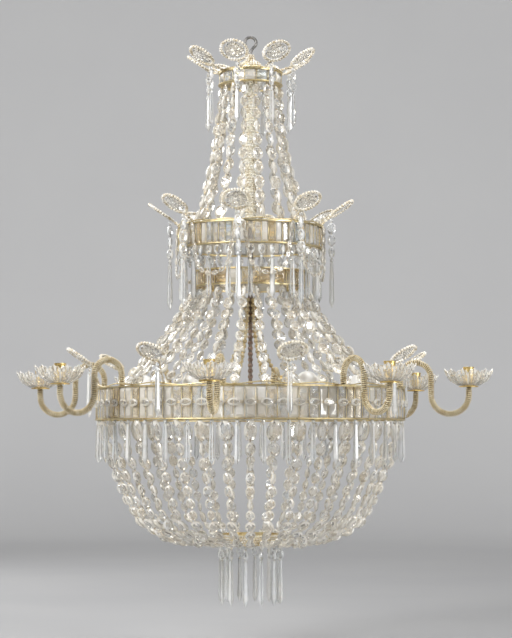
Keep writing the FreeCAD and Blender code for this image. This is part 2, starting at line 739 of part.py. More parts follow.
def stays():
    """Beaded wires that leave the rod below the inner ring and bow out to the spider's bars."""
    gap = get("seat_gap")
    thick = get("stay_radius")
    start = V(get("rod_radius") + gap + thick, 0, -get("stay_depth"))
    end = V(get("stay_foot"), 0, spider_top() + gap + get("stay_ankle"))
    fall = start.z - end.z
    reach = end.x - start.x
    radius = (reach * reach + fall * fall) / (2 * reach)
    centre = V(start.x + radius, 0, start.z)
    angle = math.degrees(math.atan2(fall, radius - reach))
    section = Part.Face(Part.Wire(Part.Circle(start, UP, thick).toShape()))
    bowed = section.revolve(centre, V(0, -1, 0), angle)
    ankle = Part.makeCylinder(thick, get("stay_ankle"), end - V(0, 0, get("stay_ankle")))
    stay = bowed.fuse(ankle)
    around = turns(count("spider_bars"), get("bulb_turn"))
    return solid_node("stays", Part.makeCompound([placed(stay, 0, 0, turn) for turn in around]))


# ---------------------------------------------------------------- strands of beads

def strand_nodes():
    """Three tiers of bead strands, and the wires that they are strung on."""
    gap = get("seat_gap")
    half_rim = get("rim_width") / 2
    bare = get("strand_end")
    twist = get("strand_twist")
    wires = []

    top_foot = -get("top_depth") - get("top_height") - gap
    upper = Bow((get("top_radius") - half_rim, top_foot), (get("middle_hoop"), gap - get("middle_depth")),
                get("upper_bow"))
    beads = []
    for i, turn in enumerate(turns(count("upper_strands"), 180 / get("upper_strands"))):
        beads += strung(upper, count("upper_beads"), get("upper_growth"), turn, twist * i, bare, bare)
        wires.append(upper.wire(turn))
    solid_node("upper_strands", Part.makeCompound(beads))

    inner_foot = -get("inner_depth") - get("inner_height") - gap
    tent = Bow((get("inner_radius") - half_rim, inner_foot), (get("large_hoop"), gap - get("large_depth")),
               get("tent_bow"))
    beads = []
    for i, turn in enumerate(turns(count("tent_strands"), 180 / get("tent_strands"))):
        beads += strung(tent, count("tent_beads"), get("tent_growth"), turn, twist * i, bare, bare)
        wires.append(tent.wire(turn))
    solid_node("tent_strands", Part.makeCompound(beads))

    ring_foot = -get("large_depth") - get("large_height") - gap
    out = get("large_radius") - half_rim
    waist = (get("bag_turn_radius"), -get("bag_turn_depth"))
    fall = Bow((out, ring_foot), waist, -get("bag_side_bow"))
    shoulder = get("almond_length")
    side = Bow(fall.at(shoulder)[:2], waist, -get("bag_side_bow") * (1 - shoulder / fall.length) ** 2)
    end = (get("bag_radius") + gap, -get("bag_depth") - get("bag_height") / 2)
    floor = Bow(waist, end, -get("bag_floor_bow"))
    almond = cut_bead(shoulder - gap, get("almond_width"), get("bead_flatness") * get("almond_width"))
    beads = []
    for i, turn in enumerate(turns(count("bag_strands"))):
        radius, height, lean = fall.at(shoulder / 2)
        beads.append(placed(almond, radius, height, turn, lean))
        beads += strung(side, count("bag_side_beads"), get("bag_side_growth"), turn, twist * i)
        row = strung(floor, count("bag_floor_beads"), get("bag_floor_growth"), turn, 0, 0, bare)
        if i % 2 == 1:
            row = row[:len(row) - count("bag_short")]
        beads += row
        wires.append(side.wire(turn))
        if i % 2 == 0:
            wires.append(floor.wire(turn))
    solid_node("bag_strands", Part.makeCompound(beads))
    solid_node("strand_wires", Part.makeCompound(wires))


# ---------------------------------------------------------------- rosettes and drops

RING_ROSETTES = ("top", "middle", "large")


def rosette_turns(ring):
    """Turns of the rosettes of one ring."""
    number = count("arm_count") if ring == "large" else count("crown_rosettes")
    return turns(number, get(ring + "_rosette_turn"))


def rosette_middle(ring):
    """How far out and how high the middle of a ring's rosettes is."""
    radius = get(ring + "_radius") + get(ring + "_rosette_reach")
    return radius, get(ring + "_rosette_rise") - get(ring + "_depth")


def rosettes():
    """Leaning discs round three rings: each is a beaded rim round a cut glass."""
    rim = get("rosette_rim")
    inner = get("rosette_radius") - 2 * rim - get("seat_gap")
    half = get("rosette_glass") / 2
    hoop = Part.makeTorus(get("rosette_radius") - rim, rim)
    table = get("bead_table") * inner
    sides = count("rosette_glass_sides")
    glass = stacked([level_loop(sides, table, -half), level_loop(sides, inner, 0), level_loop(sides, table, half)])
    made = []
    for ring in RING_ROSETTES:
        radius, height = rosette_middle(ring)
        for turn in rosette_turns(ring):
            for piece in (hoop, glass):
                made.append(placed(piece, radius, height, turn, -get("rosette_lean")))
    return solid_node("rosettes", Part.makeCompound(made))


def rosette_stems():
    """Straight beaded stems from each ring's upper rim to its rosettes."""
    gap = get("seat_gap")
    lean = math.radians(get("rosette_lean"))
    thick = get("rosette_stem")
    stems = []
    for ring in RING_ROSETTES:
        radius, height = rosette_middle(ring)
        foot = get(ring + "_radius") - get("rim_width") / 2
        top = -get(ring + "_depth")
        reach = get("rosette_radius") + gap
        slant = math.atan2(height - reach * math.sin(lean) - top, radius - reach * math.cos(lean) - foot)
        reach = reach + thick * abs(math.sin(slant - lean))
        end = V(radius - reach * math.cos(lean), 0, height - reach * math.sin(lean))
        start = V(foot, 0, top + gap + thick * math.cos(slant))
        stem = Part.makeCylinder(thick, (end - start).Length, start, end - start)
        stems += [placed(stem, 0, 0, turn) for turn in rosette_turns(ring)]
    return solid_node("rosette_stems", Part.makeCompound(stems))


def rosette_drop_pivot(ring):
    """Where a drop hangs: just outside the lowest place of a rosette's rim, how far out and how high."""
    radius, height = rosette_middle(ring)
    lean = math.radians(get("rosette_lean"))
    rim = get("rosette_rim")
    reach = get("rosette_radius") - rim
    return radius - reach * math.cos(lean) + get("drop_shift"), height - reach * math.sin(lean) - rim


def rosette_drops(ring):
    """A small bead, oval beads and an icicle under each rosette; each drop swings by itself."""
    pieces = [pearl_piece()]
    for _ in range(count(ring + "_drop_beads")):
        pieces.append(bead_piece(get(ring + "_drop_bead")))
    pieces.append(pearl_piece())
    pieces.append(icicle_piece(get(ring + "_drop_icicle")))
    radius, pivot = rosette_drop_pivot(ring)
    for i, turn in enumerate(rosette_turns(ring)):
        hung = hanging(pieces, radius, pivot - 2 * get("seat_gap"), turn)
        solid_node("%s_drop_%d" % (ring, i + 1), Part.makeCompound(hung))


def large_drops():
    """Two small beads and an icicle under each rosette of the large ring."""
    pieces = [pearl_piece(), pearl_piece(), icicle_piece(get("large_drop_icicle"))]
    radius, pivot = rosette_drop_pivot("large")
    drops = []
    for turn in rosette_turns("large"):
        drops += hanging(pieces, radius, pivot - get("seat_gap"), turn)
    return solid_node("large_drops", Part.makeCompound(drops))


def middle_fringe():
    """Oval beads under the middle ring, with an icicle under every second one."""
    gap = get("seat_gap")
    radius = get("middle_radius") - get("middle_fringe_inset")
    foot = -get("middle_depth") - get("middle_height") - gap
    bead = bead_piece(get("middle_fringe_bead"))
    drops = []
    for i, turn in enumerate(turns(count("middle_fringe_drops"))):
        pieces = [bead, pearl_piece()]
        if i % 2 == 0:
            pieces.append(icicle_piece(get("middle_fringe_icicle")))
        for piece in hanging(pieces, radius, foot, turn):
            drops.append(piece)
    return solid_node("middle_fringe", Part.makeCompound(drops))


def middle_swags():
    """Garlands of oval beads round the middle ring: from each rosette a straight row falls to each side
    over the panes, and a curved row hangs between two of them."""
    gap = get("seat_gap")
    width = get("swag_width")
    thick = get("swag_flatness") * width
    radius = get("middle_radius") + gap + thick / 2
    around = rosette_turns("middle")
    halfway = 180.0 / len(around)
    low = -get("middle_depth") - get("swag_drop")
    spots = []

    reach = math.radians(halfway - get("swag_turn")) * radius
    curve = Bow((-reach, low), (reach, low), get("swag_fall"))
    pitch = curve.length / count("swag_beads")
    for i in range(count("swag_beads")):
        across, height, lean = curve.at(pitch * (i + 0.5))
        spots.append((math.radians(halfway) * radius + across, height, lean, pitch - 2 * get("swag_link")))

    top = -get("middle_depth") - gap
    start = math.radians(get("swag_side_turn")) * radius
    run = math.radians(get("swag_turn")) * radius - start
    pitch = math.hypot(run, top - low) / count("swag_side_beads")
    lean = math.degrees(math.atan2(run, top - low))
    for i in range(count("swag_side_beads")):
        share = (i + 0.5) / count("swag_side_beads")
        for side in (-1, 1):
            across = side * (start + share * run)
            spots.append((across, top - share * (top - low), -side * lean, pitch - 2 * gap))

    made = []
    for first in around:
        for across, height, lean, length in spots:
            bead = cut_bead(length, width, thick)
            bead.rotate(V(0, 0, 0), V(1, 0, 0), -lean)
            made.append(placed(bead, radius, height, first + math.degrees(across / radius)))
    return solid_node("middle_swags", Part.makeCompound(made))


def large_fringe():
    """An icicle on a small bead between every two strands of the bag."""
    gap = get("seat_gap")
    number = count("bag_strands")
    radius = get("large_radius") - get("rim_width") / 2
    foot = -get("large_depth") - get("large_height") - gap
    pieces = [pearl_piece(), icicle_piece(get("large_fringe_icicle"))]
    drops = []
    for turn in turns(number, 180 / number):
        drops += hanging(pieces, radius, foot, turn)
    return solid_node("large_fringe", Part.makeCompound(drops))


def bottom_drops():
    """A bead and an icicle on each eye round the bag ring."""
    number = count("bottom_drops")
    radius = get("bag_radius") - get("rim_width") / 2
    foot = -get("bag_depth") - get("bag_height") - get("seat_gap")
    pieces = [pearl_piece(), bead_piece(get("bottom_drop_bead")), icicle_piece(get("bottom_drop_icicle"))]
    drops = []
    for turn in turns(number, get("bottom_drop_turn")):
        drops += hanging(pieces, radius, foot, turn)
    return solid_node("bottom_drops", Part.makeCompound(drops))


# ---------------------------------------------------------------- arms, cups and drip pans

def arm_shape():
    """A beaded arm: down from the candle, up round the bow, over the arch and down to the large ring."""
    gap = get("seat_gap")
    reach = get("arm_reach")
    waist = get("arm_waist")
    foot = get("arm_foot")
    bow = -get("arm_bow_depth")
    arch = -get("arm_arch_depth")
    top = V(reach, 0, -get("cup_foot_depth") - gap)
    bow_radius = (reach - waist) / 2
    arch_radius = (waist - foot) / 2
    spots = [top, V(reach, 0, bow), V(reach - bow_radius, 0, bow - bow_radius), V(waist, 0, bow),
             V(waist, 0, arch), V(waist - arch_radius, 0, arch + arch_radius), V(foot, 0, arch),
             V(foot, 0, -get("large_depth") + gap)]
    edges = [Part.makeLine(spots[0], spots[1]), Part.Arc(*spots[1:4]).toShape(),
             Part.makeLine(spots[3], spots[4]), Part.Arc(*spots[4:7]).toShape(),
             Part.makeLine(spots[6], spots[7])]
    section = Part.Wire(Part.Circle(top, UP, get("arm_tube")).toShape())
    return Part.Wire(edges).makePipeShell([section], True, False)


def arms():
    """One node for each arm."""
    shape = arm_shape()
    for i, turn in enumerate(turns(count("arm_count"), get("arm_turn"))):
        solid_node("arm_%d" % (i + 1), shape, place_round(0, 0, turn))


def candle_cups():
    """Turned cups with a bore for a candle, on a foot that carries the drip pan."""
    top = "cup_foot_depth - cup_height"
    floor = top + " + cup_bore_depth"
    seat = "cup_foot_depth - cup_foot_height"
    master = turned_body("candle_cup_pattern", [
        ("0", floor),
        ("cup_bore", floor),
        ("cup_bore", top),
        ("cup_radius", top),
        ("cup_radius", seat),
        ("cup_foot_radius", seat),
        ("cup_foot_radius", "cup_foot_depth"),
        ("0", "cup_foot_depth")])
    around = turns(count("arm_count"), get("arm_turn"))
    cups = [placed(master.Shape, get("arm_reach"), 0, turn) for turn in around]
    return solid_node("candle_cups", Part.makeCompound(cups))


def drip_pans():
    """Glass pans round the cups, with petals cut into their rims; each lifts off over its candle cup."""
    inner = "cup_radius + pan_gap"
    seat = "cup_foot_depth - cup_foot_height - seat_gap"
    rim = seat + " - pan_height"
    flank = "pan_base + (pan_radius - pan_base) * pan_flank"
    flank_height = seat + " - pan_height * pan_flank_height"
    master = turned_body("drip_pan_pattern", [
        (inner, seat),
        ("pan_base", seat),
        (flank, flank_height),
        ("pan_radius", rim),
        ("pan_radius - pan_wall", rim),
        (flank + " - pan_wall", flank_height + " - pan_wall"),
        ("pan_base - pan_wall / 2", seat + " - pan_wall"),
        (inner, seat + " - pan_wall")])
    pan = master.Shape
    height = -get("cup_foot_depth") + get("cup_foot_height") + get("seat_gap")
    foot = V(get("pan_notch_reach"), 0, height + get("pan_notch_foot"))
    for i in range(count("pan_petals")):
        cutter = Part.makeCylinder(get("pan_notch"), get("pan_height"), foot)
        cutter.rotate(V(0, 0, 0), UP, 360.0 * i / count("pan_petals"))
        pan = pan.cut(cutter)
    for i, turn in enumerate(turns(count("arm_count"), get("arm_turn"))):
        solid_node("drip_pan_%d" % (i + 1), pan, place_round(get("arm_reach"), 0, turn))


# ---------------------------------------------------------------- bulbs

def bulbs():
    """Round bulbs, each with a neck that sits in a holder on a bar of the spider."""
    around = turns(count("bulb_count"), get("bulb_turn"))
    ball = Part.makeSphere(get("bulb_radius"))
    neck = Part.makeCylinder(get("bulb_neck"), get("bulb_neck_length"), V(0, 0, -get("bulb_neck_length")))
    bulb = ball.fuse(neck).removeSplitter()
    reach = get("bulb_reach")
    solid_node("bulbs", Part.makeCompound([placed(bulb, reach, -get("bulb_depth"), turn) for turn in around]))

    gap = get("seat_gap")
    foot = spider_top() + gap
    bore = get("bulb_neck") + gap
    ball_foot = -get("bulb_depth") - math.sqrt(get("bulb_radius") ** 2 - bore ** 2)
    tall = ball_foot - gap - foot
    outer = Part.makeCylinder(bore + get("holder_wall"), tall)
    room = Part.makeCylinder(bore, tall, V(0, 0, get("holder_floor")))
    holder = outer.cut(room)
    solid_node("lampholders", Part.makeCompound([placed(holder, reach, foot, turn) for turn in around]))


# ---------------------------------------------------------------- build, check, export

def build():
    suspension_hook()
    stem_collar()
    stem_rod()
    stem_beading()
    top_ring()
    middle_ring()
    inner_ring()
    large_ring()
    all_panes()
    large_ring_lozenges()
    ring_spider()
    bag_ring()
    stays()
    strand_nodes()
    rosettes()
    rosette_stems()
    rosette_drops("top")
    rosette_drops("middle")
    large_drops()
    middle_fringe()
    middle_swags()
    large_fringe()
    bottom_drops()
    arms()
    candle_cups()
    drip_pans()
    bulbs()
    doc.recompute()


def check_and_export():
    """Stop on any failed object, and write each sub-part under its label."""
    for item in doc.Objects:
        if "Invalid" in item.State or "Error" in item.State:
            raise RuntimeError("failed to build: " + item.Label)
    for item in nodes:
        if item.Shape.isNull() or not item.Shape.isValid():
            raise RuntimeError("bad shape: " + item.Label)
    for item in nodes:
        item.Shape.exportStep("parts/%s.step" % item.Label)
        box = item.Shape.BoundBox
        print("%-22s %4d solids  z %8.1f to %8.1f" % (item.Label, len(item.Shape.Solids), box.ZMin, box.ZMax))
    print(len(nodes), "nodes")


build()
check_and_export()
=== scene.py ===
"""Looks of the crystal chandelier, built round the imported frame. Lengths are millimetres unless said otherwise.

Turns are counted from the front (-Y), positive towards +X; a depth is counted down from the hook.
"""
import math
import random

import bmesh
import bpy
import numpy as np
from mathutils import Matrix, Vector


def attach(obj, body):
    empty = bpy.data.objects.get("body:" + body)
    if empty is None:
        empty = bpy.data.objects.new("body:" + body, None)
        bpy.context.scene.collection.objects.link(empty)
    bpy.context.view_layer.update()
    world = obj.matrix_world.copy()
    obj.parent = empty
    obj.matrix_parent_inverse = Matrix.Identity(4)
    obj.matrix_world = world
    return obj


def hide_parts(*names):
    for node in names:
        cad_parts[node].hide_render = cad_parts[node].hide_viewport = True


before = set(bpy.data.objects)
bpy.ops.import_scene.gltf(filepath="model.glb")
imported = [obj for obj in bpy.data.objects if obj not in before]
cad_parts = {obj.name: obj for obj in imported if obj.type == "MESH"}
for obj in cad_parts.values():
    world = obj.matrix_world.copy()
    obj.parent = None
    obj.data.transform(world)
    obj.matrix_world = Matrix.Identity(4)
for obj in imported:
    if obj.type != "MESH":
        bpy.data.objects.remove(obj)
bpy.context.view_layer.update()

MM = 0.001
random.seed(7)


def add_object(name, data):
    """A new object in the scene."""
    made = bpy.data.objects.new(name, data)
    bpy.context.scene.collection.objects.link(made)
    return made


# ---- materials

def new_material(name, **sockets):
    """A material with its shader, ready for nodes. Values that are the same all over go on the shader's sockets."""
    mat = bpy.data.materials.new(name)
    mat.use_nodes = True
    shader = mat.node_tree.nodes["Principled BSDF"]
    for key, value in sockets.items():
        shader.inputs[key.replace("_", " ")].default_value = value
    return mat


def add_node(tree, kind, sockets, **settings):
    """A node with its settings. Each socket named gets a value, or a link from another node's output."""
    made = tree.nodes.new("ShaderNode" + kind)
    for key, value in settings.items():
        setattr(made, key, value)
    for key, value in sockets.items():
        if isinstance(value, bpy.types.NodeSocket):
            tree.links.new(value, made.inputs[key])
        else:
            made.inputs[key].default_value = value
    return made


def place_node(mat):
    """Object coordinates, so that a pattern has real size and stays with its piece."""
    return add_node(mat.node_tree, "TexCoord", {}).outputs["Object"]


def noise(mat, scale, detail=3.0, roughness=0.5):
    sockets = {"Scale": scale, "Detail": detail, "Roughness": roughness, "Vector": place_node(mat)}
    return add_node(mat.node_tree, "TexNoise", sockets).outputs["Fac"]


def cells(mat, scale):
    """A random value for each cell about as large as one bead."""
    tree = mat.node_tree
    pattern = add_node(tree, "TexVoronoi", {"Scale": scale, "Vector": place_node(mat)})
    return add_node(tree, "SeparateColor", {"Color": pattern.outputs["Color"]}).outputs["Red"]


def ramp(tree, source, stops):
    """Colours along a value. A stop is a place and its red, green and blue."""
    made = add_node(tree, "ValToRGB", {"Fac": source})
    table = made.color_ramp.elements
    while len(table) < len(stops):
        table.new(0.5)
    for element, (at, *colour) in zip(table, stops):
        element.position = at
        element.color = (*colour, 1)
    return made.outputs["Color"]


def span(tree, source, low, high, start=0.0, end=1.0):
    """A value stretched from one range to another."""
    sockets = {"From Min": start, "From Max": end, "To Min": low, "To Max": high, "Value": source}
    return add_node(tree, "MapRange", sockets).outputs["Result"]


def blend_colours(tree, factor, first, second, blend_type="MIX"):
    sockets = {"Factor": factor, "A": first, "B": second}
    return add_node(tree, "Mix", sockets, data_type="RGBA", blend_type=blend_type).outputs["Result"]


def finish_material(mat, colour, rough_source, low, high, start, end, height, strength, distance):
    """Links a shader's colour, its roughness over a range of a pattern, and its bump."""
    tree = mat.node_tree
    shader = tree.nodes["Principled BSDF"]
    bump = add_node(tree, "Bump", {"Strength": strength, "Distance": distance, "Height": height})
    tree.links.new(colour, shader.inputs["Base Color"])
    tree.links.new(span(tree, rough_source, low, high, start, end), shader.inputs["Roughness"])
    tree.links.new(bump.outputs["Normal"], shader.inputs["Normal"])
    return mat


def crystal_material(name, stops, bead_scale, clear, wave):
    """Old lead crystal: each bead has its own faint tint, a trace of dust, and slightly uneven faces."""
    mat = new_material(name, Transmission_Weight=clear, IOR=1.56)
    tree = mat.node_tree
    dust = ramp(tree, noise(mat, 90, 4), [(0.35, 0.93, 0.92, 0.90), (0.6, 1, 1, 1)])
    colour = blend_colours(tree, 1.0, ramp(tree, cells(mat, bead_scale), stops), dust, "MULTIPLY")
    return finish_material(mat, colour, noise(mat, 160, 3), 0.0, 0.055, 0.35, 0.75, noise(mat, 55, 2), wave, 0.0015)


def metal_material(name, stops, low, high, relief=0.25, grain=120, metallic=1.0):
    """Worn metal: patches of tarnish, uneven polish and fine pits."""
    mat = new_material(name, Metallic=metallic)
    tree = mat.node_tree
    patches = ramp(tree, noise(mat, grain * 0.35, 5, 0.6), stops)
    streaks = ramp(tree, noise(mat, grain * 2.5, 4), [(0.3, 0.80, 0.78, 0.74), (0.6, 1, 1, 1)])
    colour = blend_colours(tree, 1.0, patches, streaks, "MULTIPLY")
    return finish_material(mat, colour, noise(mat, grain, 4), low, high, 0.3, 0.7, noise(mat, grain * 4, 4, 0.6),
                           relief, 0.0006)


def bead_material(name, stops, bead_scale):
    """Small pearly glass beads: a tone for each bead, soft gloss, dirt between them."""
    mat = new_material(name, IOR=1.5, Coat_Weight=0.35, Coat_Roughness=0.12)
    tree = mat.node_tree
    dirt = ramp(tree, noise(mat, 70, 4), [(0.32, 0.78, 0.72, 0.62), (0.55, 1, 1, 1)])
    colour = blend_colours(tree, 1.0, ramp(tree, cells(mat, bead_scale), stops), dirt, "MULTIPLY")
    return finish_material(mat, colour, noise(mat, 300, 3), 0.12, 0.34, 0.3, 0.7, noise(mat, 900, 2), 0.15, 0.0004)


def smooth_material(name, stops, colour_scale, detail, low, high, rough_scale, bump_scale, bump_detail, strength):
    """An even surface with faint stains and a fine grain."""
    mat = new_material(name, IOR=1.5)
    colour = ramp(mat.node_tree, noise(mat, colour_scale, detail), stops)
    return finish_material(mat, colour, noise(mat, rough_scale, 3), low, high, 0.3, 0.7,
                           noise(mat, bump_scale, bump_detail), strength, 0.0004)


CLEAR = [(0.0, 0.86, 0.84, 0.80), (0.3, 0.98, 0.965, 0.93), (0.6, 0.97, 0.92, 0.83), (0.85, 0.87, 0.915, 0.96),
         (1.0, 0.99, 0.975, 0.94)]
COOL = [(0.0, 0.91, 0.93, 0.95), (0.4, 0.98, 0.98, 0.97), (0.75, 0.96, 0.955, 0.93), (1.0, 0.93, 0.96, 0.985)]
CLOUDY = [(0.0, 0.88, 0.82, 0.71), (0.4, 0.97, 0.94, 0.87), (0.75, 0.93, 0.87, 0.76), (1.0, 0.98, 0.97, 0.93)]
BLUE = [(0.0, 0.70, 0.81, 0.90), (0.5, 0.84, 0.91, 0.96), (1.0, 0.93, 0.96, 0.98)]
AMBER = [(0.0, 0.86, 0.74, 0.52), (0.35, 0.95, 0.89, 0.76), (0.7, 0.79, 0.65, 0.43), (1.0, 0.96, 0.93, 0.86)]
MILKY = [(0.0, 0.89, 0.85, 0.76), (0.4, 0.97, 0.95, 0.90), (0.7, 0.94, 0.89, 0.79), (1.0, 0.985, 0.98, 0.965)]
IVORY = [(0.0, 0.40, 0.33, 0.22), (0.12, 0.88, 0.82, 0.68), (0.6, 0.96, 0.93, 0.83), (1.0, 0.985, 0.97, 0.92)]
CREAM = [(0.0, 0.62, 0.54, 0.38), (0.25, 0.84, 0.77, 0.62), (0.6, 0.91, 0.86, 0.75), (1.0, 0.96, 0.93, 0.87)]
STRAW = [(0.0, 0.52, 0.41, 0.22), (0.35, 0.73, 0.62, 0.39), (0.75, 0.83, 0.73, 0.51), (1.0, 0.89, 0.82, 0.63)]
HONEY = [(0.0, 0.56, 0.42, 0.20), (0.35, 0.80, 0.68, 0.42), (0.75, 0.88, 0.79, 0.56), (1.0, 0.93, 0.88, 0.74)]
BROWN = [(0.0, 0.16, 0.10, 0.07), (0.4, 0.36, 0.24, 0.18), (0.75, 0.50, 0.37, 0.29), (1.0, 0.66, 0.54, 0.45)]

crystal = crystal_material("cut_crystal", CLEAR, 38, 0.86, 0.25)
cloudy_crystal = crystal_material("cloudy_crystal", CLOUDY, 38, 0.74, 0.3)
# A whiter, less clear copy of the cut crystal for the edge faces and some facets of beads and rosette glasses: a
# painted highlight.
painted_highlight_glass = crystal_material("painted_highlight_glass", MILKY, 38, 0.34, 0.06)
prism_crystal = crystal_material("prism_crystal", COOL, 16, 0.84, 0.06)
# A whiter, less clear copy of the prism crystal for the edges and two sides of each drop: a painted highlight.
prism_painted_highlight = crystal_material("prism_painted_highlight", COOL, 16, 0.28, 0.05)
pane_crystal = crystal_material("pane_crystal", CLEAR, 34, 0.75, 0.3)
# Milky glass: a real tone for some panes, and on the lozenges' rim faces a painted highlight.
milky_pane_and_highlight = crystal_material("milky_pane_and_highlight", MILKY, 34, 0.45, 0.2)
blue_crystal = crystal_material("blue_crystal", BLUE, 34, 0.75, 0.3)
amber_crystal = crystal_material("amber_crystal", AMBER, 26, 0.75, 0.3)
dish_crystal = crystal_material("dish_crystal", MILKY, 60, 0.78, 0.1)
# An almost opaque white copy of the dish glass for the rim, the petal tips and the seams: a painted highlight.
dish_painted_highlight = crystal_material("dish_painted_highlight", MILKY, 60, 0.12, 0.05)
cream_beads = bead_material("cream_beads", CREAM, 150)
honey_glass = crystal_material("honey_glass", HONEY, 60, 0.35, 0.05)
brown_glass = crystal_material("brown_glass", BROWN, 60, 0.25, 0.05)
stem_beads = bead_material("stem_beads", IVORY, 150)
arm_beads = bead_material("arm_beads", STRAW, 240)
# A dark core for the arm windings and the rosette rims: its dark colour is painted shade in the gaps between the
# beads.
gap_shade_core = metal_material("dark_core_painted_shade", [(0.3, 0.10, 0.07, 0.04), (0.5, 0.20, 0.15, 0.08), (0.75, 0.30, 0.23, 0.13)],
                       0.45, 0.7, 0.3, 160, 0.6)
gilt = metal_material("old_gilding", [(0.3, 0.48, 0.35, 0.16), (0.45, 0.80, 0.66, 0.36), (0.7, 0.90, 0.80, 0.52)],
                      0.26, 0.46)
brass = metal_material("cup_brass", [(0.3, 0.62, 0.43, 0.14), (0.5, 0.86, 0.65, 0.27), (0.75, 0.92, 0.74, 0.38)],
                       0.22, 0.40, 0.12, 90)
iron = metal_material("old_iron", [(0.3, 0.10, 0.08, 0.065), (0.5, 0.24, 0.20, 0.16), (0.75, 0.36, 0.30, 0.24)],
                      0.42, 0.66, 0.6, 140, 0.85)
hook_iron = metal_material("hook_iron", [(0.3, 0.10, 0.10, 0.10), (0.5, 0.24, 0.235, 0.23),
                                         (0.75, 0.42, 0.41, 0.39)], 0.40, 0.62, 0.6, 140, 0.85)
wire = metal_material("drawn_wire", [(0.3, 0.48, 0.36, 0.18), (0.6, 0.78, 0.63, 0.36), (0.8, 0.84, 0.72, 0.46)],
                      0.24, 0.42, 0.1, 200)
frosted_glass = smooth_material("frosted_glass", [(0.3, 0.93, 0.90, 0.83), (0.6, 0.985, 0.98, 0.96)],
                                40, 3, 0.3, 0.46, 200, 700, 2, 0.06)
ivory = smooth_material("ivory_holder", [(0.3, 0.66, 0.60, 0.48), (0.6, 0.84, 0.80, 0.70)],
                        60, 4, 0.35, 0.55, 150, 500, 3, 0.1)


# ---- shapes

def hull(points):
    """Corners and flat facets of the convex form round some points."""
    bm = bmesh.new()
    for point in points:
        bm.verts.new(point)
    bmesh.ops.convex_hull(bm, input=bm.verts)
    bmesh.ops.delete(bm, geom=[v for v in bm.verts if not v.link_faces], context="VERTS")
    bmesh.ops.dissolve_limit(bm, angle_limit=math.radians(1.5), verts=bm.verts, edges=bm.edges)
    bm.verts.index_update()
    shape = (np.array([v.co[:] for v in bm.verts]), [[v.index for v in f.verts] for f in bm.faces])
    bm.free()
    return shape


def circle(number, shift=0.0):
    """Cosine and sine of even angles."""
    for i in range(number):
        angle = 2 * math.pi * (i + shift) / number
        yield math.cos(angle), math.sin(angle)


def oval_ring(number, radius_y, radius_z, x, shift=0.0):
    """Points of an oval in a plane of constant x."""
    return [(x, radius_y * sine, radius_z * cosine) for cosine, sine in circle(number, shift)]


def round_ring(number, radius, z, shift=0.0):
    """Points of a circle at one height."""
    return [(radius * cosine, radius * sine, z) for cosine, sine in circle(number, shift)]


def cut_oval(sides, width, thickness, edge=0.05, crown=0.84, table=0.56):
    """An oval bead of unit length, cut with a table, a crown of kites and a thin girdle on each face."""
    points = []
    for side in (-1, 1):
        points += oval_ring(sides, width / 2, 0.5, side * edge * thickness)
        points += oval_ring(sides, crown * width / 2, crown * 0.5, side * 0.29 * thickness, 0.5)
        points += oval_ring(sides, table * width / 2, table * 0.5, side * 0.5 * thickness)
    return hull(points)


def icicle(length, width):
    """A hanging prism with six sides and narrow cut edges: a small head, a long widening body and a cut point."""
    points = [(0, 0, -length)]
    for radius, share in ((0.20, 0), (0.33, 0.02), (0.5, 0.84), (0.44, 0.868)):
        for shift in (-0.13, 0.13):
            points += round_ring(6, radius * width, -share * length, shift)
    return hull(points)


def cut_pearl(width):
    """A small round bead with two rows of facets."""
    half = width / 2
    points = round_ring(6, 0.38 * half, half) + round_ring(8, 0.80 * half, 0.55 * half, 0.5)
    points += round_ring(8, half, 0) + round_ring(8, 0.80 * half, -0.55 * half, 0.5)
    return hull(points + round_ring(6, 0.38 * half, -half))


def pane_block(depth, width, tall, edge):
    """An upright cut block: level back, sloped sides, and a raised front with sloped ends."""
    side = edge * width
    points = []
    for z in (0, tall):
        points += [(0, -width / 2, z), (0, width / 2, z), (0.35 * depth, -width / 2, z), (0.35 * depth, width / 2, z)]
    for z in (1.6 * side, tall - 1.6 * side):
        points += [(depth, -width / 2 + side, z), (depth, width / 2 - side, z)]
    return hull(points)


def seed(width, length, sides=8, rows=4):
    """A small smooth bead, its length along Z."""
    verts = [(0, 0, length / 2)]
    for j in range(1, rows):
        angle = math.pi * j / rows
        verts += round_ring(sides, width / 2 * math.sin(angle), length / 2 * math.cos(angle))
    verts.append((0, 0, -length / 2))
    faces = []
    for i in range(sides):
        j = (i + 1) % sides
        faces.append([0, 1 + i, 1 + j])
        base = 1 + (rows - 2) * sides
        faces.append([len(verts) - 1, base + j, base + i])
        for row in range(rows - 2):
            low = 1 + row * sides
            faces.append([low + i, low + sides + i, low + sides + j, low + j])
    return np.array(verts), faces


def grid_faces(rows, sides, closed=False):
    """Four-sided faces between rings of points, from each ring to the next."""
    faces = []
    for i in range(rows if closed else rows - 1):
        low, high = i * sides, (i + 1) % rows * sides
        faces += [[low + k, low + (k + 1) % sides, high + (k + 1) % sides, high + k] for k in range(sides)]
    return faces


def split_facet(a, b, c, d, other_way):
    """The two triangles of a four-sided facet that isn't level."""
    return [[a, b, c], [a, c, d]] if other_way else [[a, b, d], [b, c, d]]


def loop_link(length, width, thick):
    """A closed loop of wire, long along Z."""
    verts = []
    rounds, sides = 12, 5
    for cosine, sine in circle(rounds):
        out = Vector((0, sine, cosine))
        middle = Vector((0, width / 2 * out.y, length / 2 * out.z))
        verts += [(middle + thick / 2 * (c * out + s * Vector((1, 0, 0))))[:] for c, s in circle(sides)]
    return np.array(verts), grid_faces(rounds, sides, True)


def lathe(profile, sides):
    """A turned form: (radius, height) pairs from one end to the other, closed if they meet."""
    verts = []
    for radius, height in profile:
        verts += round_ring(sides, radius, height)
    return np.array(verts), grid_faces(len(profile), sides)


def sleeve(bore, start, first, end, last, sides):
    """A turned sleeve between two heights, with its outer radius at each."""
    return lathe([(bore, start), (first, start), (last, end), (bore, end), (bore, start)], sides)


